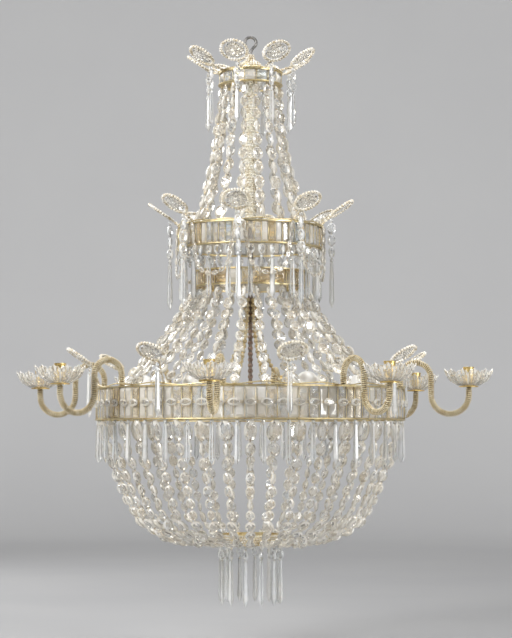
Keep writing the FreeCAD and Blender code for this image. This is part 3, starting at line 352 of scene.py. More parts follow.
def tube(points, radius, sides=8, closed=False):
    """A round wire along some points."""
    points = [Vector(p) for p in points]
    number = len(points)
    verts = []
    last = None
    for i, point in enumerate(points):
        before = points[i - 1] if i or closed else point
        after = points[(i + 1) % number] if i < number - 1 or closed else point
        along = (after - before).normalized()
        if last is None:
            last = along.orthogonal().normalized()
        side = (last - along * last.dot(along)).normalized()
        other = along.cross(side)
        last = side
        verts += [(point + radius * (cosine * side + sine * other))[:] for cosine, sine in circle(sides)]
    faces = grid_faces(number, sides, closed)
    if not closed:
        faces.append(list(range(sides))[::-1])
        faces.append([(number - 1) * sides + k for k in range(sides)])
    return np.array(verts), faces


def stamp(shape, places):
    """One shape at many places."""
    verts, faces = shape
    moves = np.array([[list(row) for row in place] for place in places])
    moved = np.einsum("nij,kj->nki", moves[:, :3, :3], verts) + moves[:, None, :3, 3]
    step = len(verts)
    return moved.reshape(-1, 3), [[i + k * step for i in face] for k in range(len(places)) for face in faces]


def normals(shape):
    """The direction that each face looks in."""
    verts, faces = shape
    for face in faces:
        normal = np.cross(verts[face[1]] - verts[face[0]], verts[face[2]] - verts[face[0]])
        yield normal / np.linalg.norm(normal)


def rim_highlight_faces(shape, limit=0.72):
    """1 for the steep faces at a flat bead's edge and for some of its sloped ones, 0 for the rest: the faces marked 1
    take a painted highlight.
    """
    marks = []
    for normal in normals(shape):
        level = abs(normal[0])
        sector = int(math.degrees(math.atan2(normal[1], normal[2])) // 36) % 3
        marks.append(int(level < limit or level < 0.97 and not sector))
    return marks


def edge_highlight_faces(shape):
    """1 for the narrow faces at the edges of a six-sided form and for two of its sides, 0 for the others: the faces
    marked 1 take a painted highlight.
    """
    marks = []
    for normal in normals(shape):
        facing = math.degrees(math.atan2(normal[1], normal[0])) + 195
        marks.append(int(facing % 60 < 30 or facing % 180 < 60))
    return marks


def clear_or_cloudy(marks, number, share=0.5):
    """Marks for a number of beads: on some of them, 2 takes the place of 0."""
    mixed = []
    for _ in range(number):
        mixed += [mark or 2 for mark in marks] if random.random() < share else marks
    return mixed


def build(name, shapes, mat, replaced=(), body="frame", smooth=False, others=(), marks=()):
    """A piece made of several shapes, riding on its body. A face's mark says which of its materials it takes."""
    verts, faces, start = [], [], 0
    for some_verts, some_faces in shapes:
        verts.append(some_verts)
        faces += [[i + start for i in face] for face in some_faces]
        start += len(some_verts)
    mesh = bpy.data.meshes.new(name)
    mesh.from_pydata((np.concatenate(verts) * MM).tolist(), [], faces)
    mesh.validate()
    bm = bmesh.new()
    bm.from_mesh(mesh)
    bmesh.ops.recalc_face_normals(bm, faces=bm.faces)
    bm.to_mesh(mesh)
    bm.free()
    for each in (mat, *others):
        mesh.materials.append(each)
    if others:
        mesh.polygons.foreach_set("material_index", marks)
    mesh.polygons.foreach_set("use_smooth", [smooth] * len(mesh.polygons))
    piece = add_object(name, mesh)
    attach(piece, body)
    if replaced:
        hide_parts(*replaced)


# ---- places

def turn_about(axis, degrees):
    return Matrix.Rotation(math.radians(degrees), 4, axis)


def spot(radius, height, turn, lean=0.0, twist=0.0, size=1.0):
    """A place round the axis: twisted and leaned there, X outward."""
    here = turn_about("Z", turn - 90) @ Matrix.Translation((radius, 0, height))
    return here @ turn_about("Y", lean) @ turn_about("Z", twist) @ Matrix.Scale(size, 4)


def turns(number, first=0.0):
    return [first + 360.0 * i / number for i in range(number)]


def polar(radius, height, turn):
    """A point round the axis."""
    angle = math.radians(turn - 90)
    return Vector((radius * math.cos(angle), radius * math.sin(angle), height))


def along_line(start, end, twist):
    """A place at the middle of a line, with Z along it."""
    facing = (end - start).to_track_quat("Z", "Y").to_matrix().to_4x4()
    return Matrix.Translation((start + end) / 2) @ facing @ turn_about("Z", twist)


class Bow:
    """A shallow arc. A point of it is a complex number: its radius and its height."""

    def __init__(self, start, end, rise):
        start, end = complex(*start), complex(*end)
        chord = abs(end - start)
        self.along = (end - start) / chord
        self.out = self.along * complex(0, math.copysign(1, -rise))
        rise = abs(rise)
        self.radius = (chord * chord / 4 + rise * rise) / (2 * rise)
        self.half = math.asin(chord / 2 / self.radius)
        self.length = 2 * self.half * self.radius
        self.middle = (start + end) / 2 - (self.radius - rise) * self.out

    def at(self, distance):
        """Radius, height and lean at a distance along the arc."""
        angle = distance / self.radius - self.half
        point = self.middle + self.radius * (self.out * math.cos(angle) + self.along * math.sin(angle))
        way = self.along * math.cos(angle) - self.out * math.sin(angle)
        return point.real, point.imag, math.degrees(math.atan2(-way.real, -way.imag))


# each ring's radius, the depth of its top, its height and its number of panes
RINGS = {"top": (73, 81, 30, 16), "middle": (166, 438, 52, 64), "inner": (132, 540, 38, 24),
         "large": (351, 807, 73, 96)}
# radius and height of the middle of each ring's rosettes, their number, and the first one's turn
ROSETTES = {"top": (125, -52, 8, -17), "middle": (210, -399, 8, -8.2), "large": (392, -739, 8, 12.9)}
ROSETTE_TILT = 35
ROSETTE_LEAN = math.radians(ROSETTE_TILT)
ROSETTE_RIM = 30
GAP = 0.3
LINK = 2.4
INNER_LOOP, END_LOOP = 3.9, 3.6
ASPECT = 0.76
BEAD = cut_oval(12, ASPECT, 0.5 * ASPECT)
BEAD_HIGHLIGHT_MARKS = rim_highlight_faces(BEAD)


def strung(path, number, growth, turn, bare_start, bare_end, beads, links):
    """Beads of one strand, most of them facing out, and the wire loops between them."""
    weights = [1 + (growth - 1) * i / max(number - 1, 1) for i in range(number)]
    pitch = (path.length - bare_start - bare_end) / sum(weights)
    reached = bare_start
    edges = []
    for i, weight in enumerate(weights):
        length = pitch * weight - LINK
        radius, height, lean = path.at(reached + pitch * weight / 2)
        size = length * random.uniform(0.96, 1.03)
        twist = random.choice((0, 0, 0, 90)) + random.uniform(-32, 32)
        beads.append(spot(radius, height, turn, lean + random.uniform(-3, 3), twist, size))
        edges.append((reached + LINK / 2, reached + pitch * weight - LINK / 2))
        reached += pitch * weight
    for i, edge in enumerate(edges[:-1]):
        join(path, (edge[1] + edges[i + 1][0]) / 2, INNER_LOOP, turn, 47 * i, links)
    if bare_start:
        join(path, bare_start / 2 + 0.6, END_LOOP, turn, 20, links)
    if bare_end:
        join(path, path.length - bare_end / 2 - 0.6, END_LOOP, turn, 20, links)


def join(path, where, reach, turn, twist, links):
    radius, height, lean = path.at(where)
    links.append(spot(radius, height, turn, lean, twist, reach))


LOOP = loop_link(2.0, 0.62, 0.2)


def loops(name, links, body="frame", replaced=()):
    build(name, [stamp(LOOP, links)], wire, replaced, body, smooth=True)


def cut_beads(name, replaced, groups, share=0.5):
    """Beads of cut glass, some of them cloudy, with a painted highlight on their rim faces. A group is a shape and
    its places.
    """
    shapes, marks = [], []
    for shape, places in groups:
        shapes.append(stamp(shape, places))
        marks += clear_or_cloudy(rim_highlight_faces(shape), len(places), share)
    build(name, shapes, crystal, [replaced], others=[painted_highlight_glass, cloudy_crystal], marks=marks)


def over(ring):
    """The height just over a ring."""
    return GAP - RINGS[ring][1]


def under(ring):
    """The height just under a ring."""
    return -(RINGS[ring][1] + RINGS[ring][2]) - GAP


# ---- strands

def strands():
    upper = Bow((67, under("top")), (128, over("middle")), 10)
    tent = Bow((126, under("inner")), (306, over("large")), 12)
    links = []
    for name, path, number, first, length, growth in (("upper", upper, 16, 11.25, 10, 1.35),
                                                      ("tent", tent, 28, 180 / 28, 9, 1.05)):
        beads = []
        for turn in turns(number, first):
            strung(path, length, growth, turn, 5, 5, beads, links)
        cut_beads(name + "_bead_strands", name + "_strands", [(BEAD, beads)])

    waist, sag = (262, -1096), -7
    tall, room_for_almond = 48.7, 49
    fall = Bow((345, under("large")), waist, sag)
    side = Bow(fall.at(room_for_almond)[:2], waist, sag * (1 - room_for_almond / fall.length) ** 2)
    floor = Bow(waist, (74.3, -1148), -28)
    almond = cut_oval(16, 28 / tall, 14 / tall)
    beads, almonds = [], []
    for i, turn in enumerate(turns(40)):
        radius, height, lean = fall.at(room_for_almond / 2)
        almonds.append(spot(radius, height, turn, lean, 0, tall))
        join(fall, room_for_almond, 4.2, turn, 30, links)
        join(fall, 1.2, 3.0, turn, 30, links)
        strung(side, 6, 0.8, turn, 0, 0, beads, links)
        row, row_links = [], []
        strung(floor, 7, 0.66, turn, 0, 5, row, row_links)
        join(floor, 0, END_LOOP, turn, 0, links)
        if i % 2:
            row, row_links = row[:4], row_links[:4]
        beads += row
        links += row_links
    cut_beads("bag_bead_strands", "bag_strands", [(BEAD, beads), (almond, almonds)])
    loops("strand_links", links, replaced=["strand_wires"])


# ---- drops

ICICLE_WIDTH = 13
PEARL = cut_pearl(9)
PEARL_HIGHLIGHT_MARKS = edge_highlight_faces(PEARL)


def drop(items, radius, top, turn, shapes, marks, links, first_twist=0.0):
    """Pieces hung one under another, each on a loop of wire."""
    height = top
    for k, (kind, tall) in enumerate(items):
        twist = first_twist + 37 * k
        if kind == "pearl":
            shapes.append(stamp(PEARL, [spot(radius, height - 4.5, turn, 0, twist)]))
            marks += PEARL_HIGHLIGHT_MARKS
        elif kind == "bead":
            shapes.append(stamp(BEAD, [spot(radius, height - tall / 2, turn, 0, twist, tall)]))
            marks += BEAD_HIGHLIGHT_MARKS
        else:
            prism = icicle(tall, ICICLE_WIDTH)
            shapes.append(stamp(prism, [spot(radius, height, turn, 0, twist)]))
            marks += edge_highlight_faces(prism)
        if k:
            links.append(spot(radius, height + GAP / 2, turn, 0, twist, 3.2))
        height -= tall + GAP


def drop_pivot(ring):
    """Where a rosette's drop hangs: under the lowest place of its rim."""
    radius, height = ROSETTES[ring][:2]
    return (radius - ROSETTE_RIM * math.cos(ROSETTE_LEAN) + 1.5,
            height - ROSETTE_RIM * math.sin(ROSETTE_LEAN) - 4)


def prisms(name, body, replaced, rows, radius, top, links, eyes=False):
    """Drops hung round the axis, some of them from an eye. A row is a turn, what hangs there and its twist."""
    shapes, marks = [], []
    for turn, items, twist in rows:
        drop(items, radius, top, turn, shapes, marks, links, twist)
        if eyes:
            links.append(spot(radius, top - GAP, turn, 0, 0, 2.2))
    # The marked faces take the whiter prism glass: a painted highlight.
    build(name, shapes, prism_crystal, [replaced], body, others=[prism_painted_highlight], marks=marks)


def rosette_drops(ring, oval, ovals, ice):
    radius, pivot = drop_pivot(ring)
    items = [("pearl", 9)] + [("bead", oval)] * ovals + [("pearl", 9), ("icicle", ice)]
    for i, turn in enumerate(turns(*ROSETTES[ring][2:])):
        name = "%s_drop_%d" % (ring, i + 1)
        links = []
        prisms(name + "_crystals", name, name, [(turn, items, 20 * i)], radius, pivot - 2 * GAP, links)
        loops(name + "_loops", links, name)


def large_drops():
    """Two small beads and a long icicle under each rosette of the large ring."""
    radius, pivot = drop_pivot("large")
    items = [("pearl", 9), ("pearl", 9), ("icicle", 95)]
    rows = [(turn, items, 20 * i) for i, turn in enumerate(turns(*ROSETTES["large"][2:]))]
    links = []
    prisms("large_drop_crystals", "frame", "large_drops", rows, radius, pivot - GAP, links)
    loops("large_drop_loops", links)


def fringes():
    """Drops hung from eyes round the middle, large and bag rings."""
    links = []
    short, long = [("bead", 24), ("pearl", 9)], [("bead", 24), ("pearl", 9), ("icicle", 88)]
    rows = [(turn, short if i % 2 else long, 25 * i) for i, turn in enumerate(turns(40))]
    prisms("middle_fringe_crystals", "frame", "middle_fringe", rows, 157.6, under("middle"), links, True)
    rows = [(turn, [("pearl", 9), ("icicle", 86)], 25 * i) for i, turn in enumerate(turns(40, 4.5))]
    prisms("large_fringe_crystals", "frame", "large_fringe", rows, 345, under("large"), links, True)
    rows = [(turn, [("pearl", 9), ("bead", 24), ("icicle", 102)], 25 * i) for i, turn in enumerate(turns(12, 21))]
    prisms("bottom_drop_crystals", "frame", "bottom_drops", rows, 68, -1160.3, links, True)
    loops("fringe_loops", links)


# ---- rosettes

def waffle_glass(radius, rise):
    """A round glass with raised and sunk points on both faces, and a mark for every second facet. The marked facets
    take a painted highlight.
    """
    around = 24
    verts, faces, marks = [(0, 0, rise), (0, 0, -rise)], [], []
    rows = [0.24, 0.48, 0.74, 1.0]
    for side in (1, -1):
        for j, share in enumerate(rows):
            for i, (cosine, sine) in enumerate(circle(around)):
                lift = rise * (1 - share ** 2) + (0.9 * ((i + j) % 2) if j < 3 else 0.5)
                verts.append((share * radius * cosine, share * radius * sine, side * lift))
    for side in (0, 1):
        base = 2 + side * 4 * around
        for i in range(around):
            faces.append([side, base + i, base + (i + 1) % around])
            marks.append(i % 2)
            for j in range(3):
                a, b = base + j * around + i, base + j * around + (i + 1) % around
                c, d = b + around, a + around
                faces += split_facet(a, b, c, d, (i + j) % 2)
                marks += [(i + j) % 2, (i // 2 + j) % 2]
    for i in range(around):
        a, b = 2 + 3 * around + i, 2 + 3 * around + (i + 1) % around
        faces.append([a, b, b + 4 * around, a + 4 * around])
        marks.append(1)
    return (np.array(verts), faces), marks


def rosettes(ring):
    """A ring of round beads on a dark ring of wire, and inside it a cut glass held by three short wires. The dark
    wire is painted shade between the beads.
    """
    radius, height, number, first = ROSETTES[ring]
    glass, glass_highlight_marks = waffle_glass(23, 3.0)
    rim, glasses, wires = [], [], []
    for turn in turns(number, first):
        base = spot(radius, height, turn, -ROSETTE_TILT)
        for angle in turns(28):
            reach = turn_about("Z", angle) @ Matrix.Translation((ROSETTE_RIM, 0, 0))
            rim.append(base @ reach @ turn_about("X", 90))
        glasses.append(base @ turn_about("Z", 17 * turn))
        for angle in (0, 120, 240):
            reach = turn_about("Z", angle)
            wires.append(tube([base @ reach @ Vector((x, 0, 0)) for x in (22.6, ROSETTE_RIM)], 0.7, 6))
        wires.append(tube([base @ Vector(p) for p in round_ring(40, ROSETTE_RIM, 0)], 1.6, 6, True))
    build(ring + "_rosette_beads", [stamp(seed(8, 6.6, 10, 6), rim)], cream_beads, ["rosettes"],
          smooth=True)
    build(ring + "_rosette_glass", [stamp(glass, glasses)], crystal, others=[painted_highlight_glass],
          marks=glass_highlight_marks * len(glasses))
    # The dark wires show as painted shade between the rim beads.
    build(ring + "_rosette_wires", wires, gap_shade_core, smooth=True)


def rosette_stems():
    """Each stem is a wire wound with beads, in a slack double twist."""
    reach = ROSETTE_RIM + 4.5
    places, wires = [], []
    for ring, (radius, height, number, first) in ROSETTES.items():
        ring_radius, depth = RINGS[ring][:2]
        foot = Vector((ring_radius - 6, 0, -depth + 1.5))
        end = Vector((radius - reach * math.cos(ROSETTE_LEAN), 0, height - reach * math.sin(ROSETTE_LEAN)))
        rows = max(int(round((end - foot).length / 4.3)), 1)
        for turn in turns(number, first):
            carry = turn_about("Z", turn - 90)
            wires.append(tube([carry @ foot, carry @ end], 1.2, 8))
            for k in range(rows):
                place = carry @ along_line(foot.lerp(end, k / rows), foot.lerp(end, (k + 1) / rows), 70 * k)
                places += [place @ Matrix.Translation((side * 1.9, 0, 0)) for side in (-1, 1)]
    build("rosette_stem_beads", [stamp(seed(4.6, 4.4), places)], cream_beads,
          ["rosette_stems"], smooth=True)
    build("rosette_stem_wires", wires, wire, smooth=True)


# ---- stem

def stem():
    """Rows of cream beads round the rod, from the collar down to the middle ring, and the beaded collar."""
    places = []
    collar, hub, low = -72.3, -84.3, over("middle")
    wide, narrow, bore = 17.5, 14, 6.1

    def rows(top, foot, shift):
        number = max(int(round((top - foot) / 6.5)), 1)
        pitch = (top - foot) / number
        for k in range(number):
            height = top - pitch * (k + 0.5)
            share = (collar - height) / (collar - low)
            radius = wide + share * (narrow - wide) - 3.3
            around = int(2 * math.pi * radius / 6.9)
            for turn in turns(around, 180 / around * (k % 2) + shift):
                places.append(spot(radius + random.uniform(-0.3, 0.3), height + random.uniform(-0.3, 0.3), turn, 90))

    rows(collar, over("top"), 0)
    rows(hub, low, 5)
    build("stem_beads", [stamp(seed(6.6, 6.6), places)], stem_beads, ["stem_beading"],
          smooth=True)
    cores = [sleeve(bore, low, 10.4, hub, 13.4, 32), sleeve(bore, over("top"), 13.8, collar, 13.9, 32)]
    build("stem_core", cores, stem_beads)

    places = []
    for radius, height, number in ((26.5, -69, 26), (25.2, -63.2, 25), (20.4, -58.6, 20), (14.4, -55.0, 14),
                                   (9.6, -50.8, 10), (8.2, -45.4, 8), (7.2, -40.2, 7)):
        for turn in turns(number, random.uniform(0, 20)):
            places.append(spot(radius, height, turn, 90))
    core = lathe([(3.7, -56), (15.6, -56), (24.2, -60.2), (26.2, -65.6), (26.2, -72), (6.2, -72), (6.2, -66),
                  (7.1, -66), (7.1, -60), (3.7, -60), (3.7, -56)], 40)
    build("collar_core", [core, sleeve(4.2, -38, 5.2, -54, 8.2, 24)], gilt, ["stem_collar"])
    build("collar_beads", [stamp(seed(6.2, 6.0), places)], cream_beads, smooth=True)


def stays():
    """Strings of round honey-coloured beads that bow from the rod to the spider."""
    start = Vector((11.8, 0, -600))
    foot = -873.7
    end = Vector((130, 0, foot + 8.3))
    fall, reach = start.z - end.z, end.x - start.x
    radius = (reach * reach + fall * fall) / (2 * reach)
    total = math.atan2(fall, radius - reach)
    line = [Vector((130, 0, foot + 0.3))]
    steps = 40
    for i in range(steps, -1, -1):
        angle = total * i / steps
        line.append(Vector((start.x + radius - radius * math.cos(angle), 0, start.z - radius * math.sin(angle))))
    places, small, wires, pitch = [], [], [], 11.8
    bead, spacer = seed(10.8, 9.6, 12, 8), seed(5.6, 3.4)
    strung_beads = beads_along(line, pitch)
    for turn in turns(6, 30):
        carry = turn_about("Z", turn - 90)
        wires.append(tube([carry @ p for p in line], 1.1, 6))
        places += [carry @ place for place in strung_beads]
        small += [carry @ place @ Matrix.Translation((0, 0, pitch / 2)) for place in strung_beads[:-1]]
    build("stay_beads", [stamp(bead, places)], honey_glass, ["stays"], smooth=True)
    build("stay_spacers", [stamp(spacer, small)], wire, smooth=True)
    build("stay_wires", wires, wire, smooth=True)


def walk(line, distances):
    """The point and the direction at some distances along a line of points."""
    lengths = line_lengths(line)
    at = 0
    for wanted in distances:
        while lengths[at + 1] < wanted:
            at += 1
        share = (wanted - lengths[at]) / (lengths[at + 1] - lengths[at])
        yield line[at].lerp(line[at + 1], share), line[at + 1] - line[at]


def line_lengths(line):
    lengths = [0.0]
    for a, b in zip(line, line[1:]):
        lengths.append(lengths[-1] + (b - a).length)
    return lengths


def beads_along(line, pitch):
    """Places at even steps along a line of points, Z along it."""
    total = line_lengths(line)[-1]
    number = max(int(round(total / pitch)), 1)
    return [Matrix.Translation(point) @ along.to_track_quat("Z", "Y").to_matrix().to_4x4()
            for point, along in walk(line, [total * (i + 0.5) / number for i in range(number)])]


def rod():
    """The iron rod: plain where the beading hides it, and strung with brown glass beads below the middle ring."""
    top, foot, beaded = -66.0, -876.7, -541.5
    plain = lathe([(0, beaded), (6, beaded), (6, top), (0, top)], 24)
    core = lathe([(0, foot), (4.4, foot), (4.4, beaded), (0, beaded)], 16)
    number = int((beaded - foot) / 12.6)
    pitch = (beaded - foot) / number
    places = [Matrix.Translation((0, 0, beaded - pitch * (i + 0.5))) for i in range(number)]
    build("rod_iron", [plain, core], iron, ["stem_rod"])
    build("rod_beads", [stamp(seed(12, pitch - 0.4, 16, 8), places)], brown_glass, smooth=True)


# ---- rings

def ring_panes(ring, replaced, mats, shares, slot_name):
    """Upright cut panes between two rims, with thin gilt uprights in the gaps. Each pane takes one of the glasses."""
    radius, depth, tall, number = RINGS[ring]
    rim, thick = 3, 6
    back = radius - thick - 1
    width = 2 * back * math.tan(math.pi / number) - 1
    shape = pane_block(thick, width, tall - 2 * rim - 2 * GAP, 0.2)
    places = [spot(back, rim + GAP - depth - tall, turn) for turn in turns(number)]
    marks = []
    for pick in random.choices(range(len(mats)), shares, k=number):
        marks += [pick] * len(shape[1])
    build(ring + "_pane_blocks", [stamp(shape, places)], mats[0], [replaced], others=mats[1:],
          marks=marks)
    wires = []
    for turn in turns(number, 180 / number):
        ends = [polar(radius - 0.5, height, turn) for height in (-depth - 2, -depth - tall + 2)]
        wires.append(tube(ends, 0.6, 5))
    build(ring + "_pane_uprights", wires, gilt, smooth=True)


def bag_ring():
    """A gilt band under rows of small cream beads."""
    inside, outside, foot, top = 62, 70.6, -1160, -1136
    places = []
    for k, height in enumerate((-1139.4, -1145.1, -1150.8, -1156.5)):
        for turn in turns(74, 2.4 * (k % 2)):
            places.append(spot(71.2, height + random.uniform(-0.3, 0.3), turn, 90))
    build("bag_ring_band", [sleeve(inside, foot, outside, top, outside, 72)], gilt, ["bag_ring"])
    build("bag_ring_beads", [stamp(seed(6.0, 5.6), places)], cream_beads, smooth=True)


def wavy_wires():
    """Bent gilt wire along the upper edges of the rings, and plain wire along their lower edges."""
    shapes = []
    for ring, waves, swing in (("top", 9, 0.7), ("middle", 14, 1.2), ("large", 18, 2.4)):
        radius, depth, tall = RINGS[ring][:3]
        points = []
        for turn in turns(240):
            lift = swing * math.sin(math.radians(turn * waves)) + 0.5 * swing * math.sin(math.radians(turn * 7 + 40))
            points.append(polar(radius + 0.6, -depth + 0.6 + lift + swing, turn))
        shapes.append(tube(points, 1.4, 8, True))
        shapes.append(tube([polar(radius + 0.4, -depth - tall + 1.5, turn) for turn in turns(180)], 1.3, 8, True))
    build("rim_wires", shapes, gilt, smooth=True)


def lozenges():
    length, number, radius, middle = 27, 64, 353.8, -843.5
    bead = cut_oval(12, 17 / length, 7 / length, crown=0.86, table=0.6)
    level = turn_about("X", 90)
    places = [spot(radius, middle, turn) @ level @ Matrix.Scale(length, 4) for turn in turns(number)]
    # The lozenges' rim faces and some facets take the milky glass: a painted highlight.
    build("lozenge_beads", [stamp(bead, places)], crystal, ["large_ring_lozenges"],
          others=[milky_pane_and_highlight], marks=rim_highlight_faces(bead, 0.9) * len(places))
    links = [spot(radius, middle, turn) @ level @ Matrix.Scale(5, 4) for turn in turns(number, 180 / number)]
    loops("lozenge_links", links)


def swags():
    """Garlands round the middle ring: from each rosette a straight row of oval beads falls to each side over the
    panes, and a curved row hangs between two of them."""
    number, first_turn = ROSETTES["middle"][2:]
    halfway = 180 / number
    width, thick, top, low, radius = 11, 6.05, -438.3, -526, 169.3
    reach = math.radians(halfway - 8) * radius
    curve = Bow((-reach, low), (reach, low), 30)
    pitch = curve.length / 6
    curved, curved_places, straight_places, links = pitch - 1.4, [], [], []
    start = math.radians(2.4) * radius
    run = math.radians(8) * radius - start
    step = math.hypot(run, top - low) / 4
    straight = step - 0.6
    lean = math.degrees(math.atan2(run, top - low))
    for first in turns(number, first_turn):
        for i in range(13):
            across, height, bend = curve.at(pitch * i / 2)
            here = spot(radius, height, first + halfway + math.degrees(across / radius)) @ turn_about("X", -bend)
            if i % 2:
                curved_places.append(here @ Matrix.Scale(curved, 4))
            elif i:
                links.append(here @ Matrix.Scale(3.6, 4))
        for side in (-1, 1):
            for i in range(1, 8):
                share = i / 8
                turn = first + math.degrees(side * (start + share * run) / radius)
                here = spot(radius, top - share * (top - low), turn) @ turn_about("X", side * lean)
                if i % 2:
                    straight_places.append(here @ Matrix.Scale(straight, 4))
                else:
                    links.append(here @ Matrix.Scale(3.0, 4))
    bent = cut_oval(10, width / curved, thick / curved)
    upright = cut_oval(10, width / straight, thick / straight)
    cut_beads("swag_beads", "middle_swags", [(bent, curved_places), (upright, straight_places)], 0.8)
    loops("swag_links", links)


# ---- arms, cups, pans, bulbs

FIRST_ARM = -9.6
CANDLE_RADIUS = 495


def arm_line():
    """The middle of an arm, from under the candle to the large ring: a low bend, then a high one."""
    line = [Vector((CANDLE_RADIUS, 0, -806.3))]
    for middle, height, bend, way in ((453, -824, 42, -1), (376.5, -785, 34.5, 1)):
        for k in range(25):
            angle = math.pi * k / 24
            line.append(Vector((middle + bend * math.cos(angle), 0, height + way * bend * math.sin(angle))))
    line.append(Vector((342, 0, -806.7)))
    return line


def arms():
    """A gilt tube wound with a string of small beads, turn beside turn. The tube is coloured dark instead of gilt:
    painted shade in the gaps between the turns.
    """
    line = arm_line()
    pitch, bead_step, wind = 4.4, 3.3, 5.7
    step = bead_step / wind
    total = line_lengths(line)[-1]
    number = int(total / pitch * 2 * math.pi / step)
    side = Vector((0, 1, 0))
    wound = []
    for i, (point, along) in enumerate(walk(line, [1 + (total - 2) * i / number for i in range(number)])):
        out = math.cos(i * step) * side + math.sin(i * step) * along.normalized().cross(side)
        facing = out.to_track_quat("Z", "Y").to_matrix().to_4x4()
        wound.append(Matrix.Translation(point + wind * out) @ facing)
    one = stamp(seed(3.5, 3.0, 7, 4), wound)
    core = tube(line, 4.6, 16)
    for i, turn in enumerate(turns(8, FIRST_ARM)):
        carry = [turn_about("Z", turn - 90)]
        arm = "arm_%d" % (i + 1)
        build(arm + "_beads", [stamp(one, carry)], arm_beads, [arm], smooth=True)
        # The dark core is painted shade between the turns of beads.
        build(arm + "_core", [stamp(core, carry)], gap_shade_core, smooth=True)


def cups():
    """Candle cups with a rolled rim, a ringed body and a dished foot."""
    top, foot, body, bore, deep = -761, -806, 12.0, 11.0, 25
    profile = [(0, foot), (21.5, foot), (21.5, foot + 1.2), (20.5, foot + 2.6), (13.6, foot + 3), (12.8, foot + 6),
               (body, foot + 8), (body, foot + 18), (12.3, foot + 19), (12.3, foot + 21), (body, foot + 22),
               (body, top - 4), (12.9, top - 2), (12.9, top - 0.8), (12.3, top), (11.5, top), (bore, top - 0.6),
               (bore, top - deep), (0, top - deep)]
    shapes = [stamp(lathe(profile, 40), [spot(CANDLE_RADIUS, 0, turn) for turn in turns(8, FIRST_ARM)])]
    build("candle_cups_turned", shapes, brass, ["candle_cups"])


def pan_shape():
    """A cut dish: petals with three points each, a groove between two petals, and crossed cuts over the flank."""
    petals, per = 12, 12
    around = petals * per
    seat = -802.7
    rows = [(12.6, 0), (23.5, 0), (29, 2.4), (35, 5.6), (41, 9.4), (45.4, 13.6), (48.4, 18.4), (50.8, 24), (53, 30.4),
            (55, 37)]
    last = len(rows) - 1
    outer, inner = [], []
    for k, (radius, height) in enumerate(rows):
        share = height / rows[-1][1]
        for i in range(around):
            phase = i % per / per
            tip = 1 - abs(2 * phase - 1)
            tooth = abs(3 * phase % 1 - 0.5) * 2
            drop_by = (7.5 * (1 - tip) ** 1.4 + 3.2 * tooth) * share ** 3
            dent = 2.4 * (1 - tip) ** 2 * share
            cross = 1.6 * ((i // 3 + k) % 2) * (1 < k < last)
            angle = 2 * math.pi * (i + 0.5) / around
            outer.append((angle, radius - dent - cross, height - drop_by))
            thick = 3 if k < last else 1.6
            level = k < 3
            inside = radius - dent - (0 if level else thick)
            inner.append((angle, max(inside, 12.6), height - drop_by + (2.8 if level else 0.6)))
    verts = [(radius * math.cos(angle), radius * math.sin(angle), seat + height)
             for angle, radius, height in outer + inner]
    faces, marks = [], []
    number = len(outer)
    for k in range(last):
        for i in range(around):
            j = (i + 1) % around
            a, b, c, d = k * around + i, k * around + j, (k + 1) * around + j, (k + 1) * around + i
            faces += split_facet(a, b, c, d, (i + k) % 2)
            faces.append([number + a, number + d, number + c, number + b])
            # Seams between petals, the petal tips and the rim are marked 1 for the white dish glass: a painted
            # highlight.
            seam = int(k > 1 and i % per in (0, per - 1))
            tip = int(k > last - 3 and i % 4 > 1)
            marks += [max(seam, tip), max(seam, tip), 0]
    for i in range(around):
        j = (i + 1) % around
        rim, rim_next = last * around + i, last * around + j
        faces.append([rim, rim_next, number + rim_next, number + rim])
        faces.append([i, number + i, number + j, j])
        marks += [1, 0]
    return (np.array(verts), faces), marks


def pans():
    shape, marks = pan_shape()
    for i, turn in enumerate(turns(8, FIRST_ARM)):
        pan = "drip_pan_%d" % (i + 1)
        shapes = [stamp(shape, [spot(CANDLE_RADIUS, 0, turn)])]
        build(pan + "_cut", shapes, dish_crystal, [pan], pan, others=[dish_painted_highlight], marks=marks)


def bulbs():
    """Frosted round bulbs with a short neck."""
    ball, neck, steps = 25, 10, 19
    profile = [(0, ball)]
    for k in range(1, steps + 1):
        angle = math.pi / 2 - math.radians(156) * k / steps
        profile.append((ball * math.cos(angle), ball * math.sin(angle)))
    profile += [(neck, -24), (neck, -38), (0, -38)]
    shapes = [stamp(lathe(profile, 40), [spot(245, -800, turn) for turn in turns(6, 30)])]
    build("bulbs_frosted", shapes, frosted_glass, ["bulbs"], smooth=True)


# ---- carried-over nodes

def carried_over():
    """Nodes whose shape is right get their finish."""
    finishes = {"suspension_hook": hook_iron, "lampholders": ivory}
    finishes.update({name: gilt for name in ("top_ring", "middle_ring", "inner_ring", "large_ring", "ring_spider")})
    for name, mat in finishes.items():
        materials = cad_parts[name].data.materials
        materials.clear()
        materials.append(mat)


# ---- room, lights, camera

def seen_rays(tree):
    """1 for the rays that show a background: from the camera, by reflection or through glass."""
    rays = add_node(tree, "LightPath", {})
    total = rays.outputs["Is Camera Ray"]
    for kind in ("Is Glossy Ray", "Is Transmission Ray"):
        total = add_node(tree, "Math", {0: total, 1: rays.outputs[kind]}, use_clamp=True).outputs["Value"]
    return total


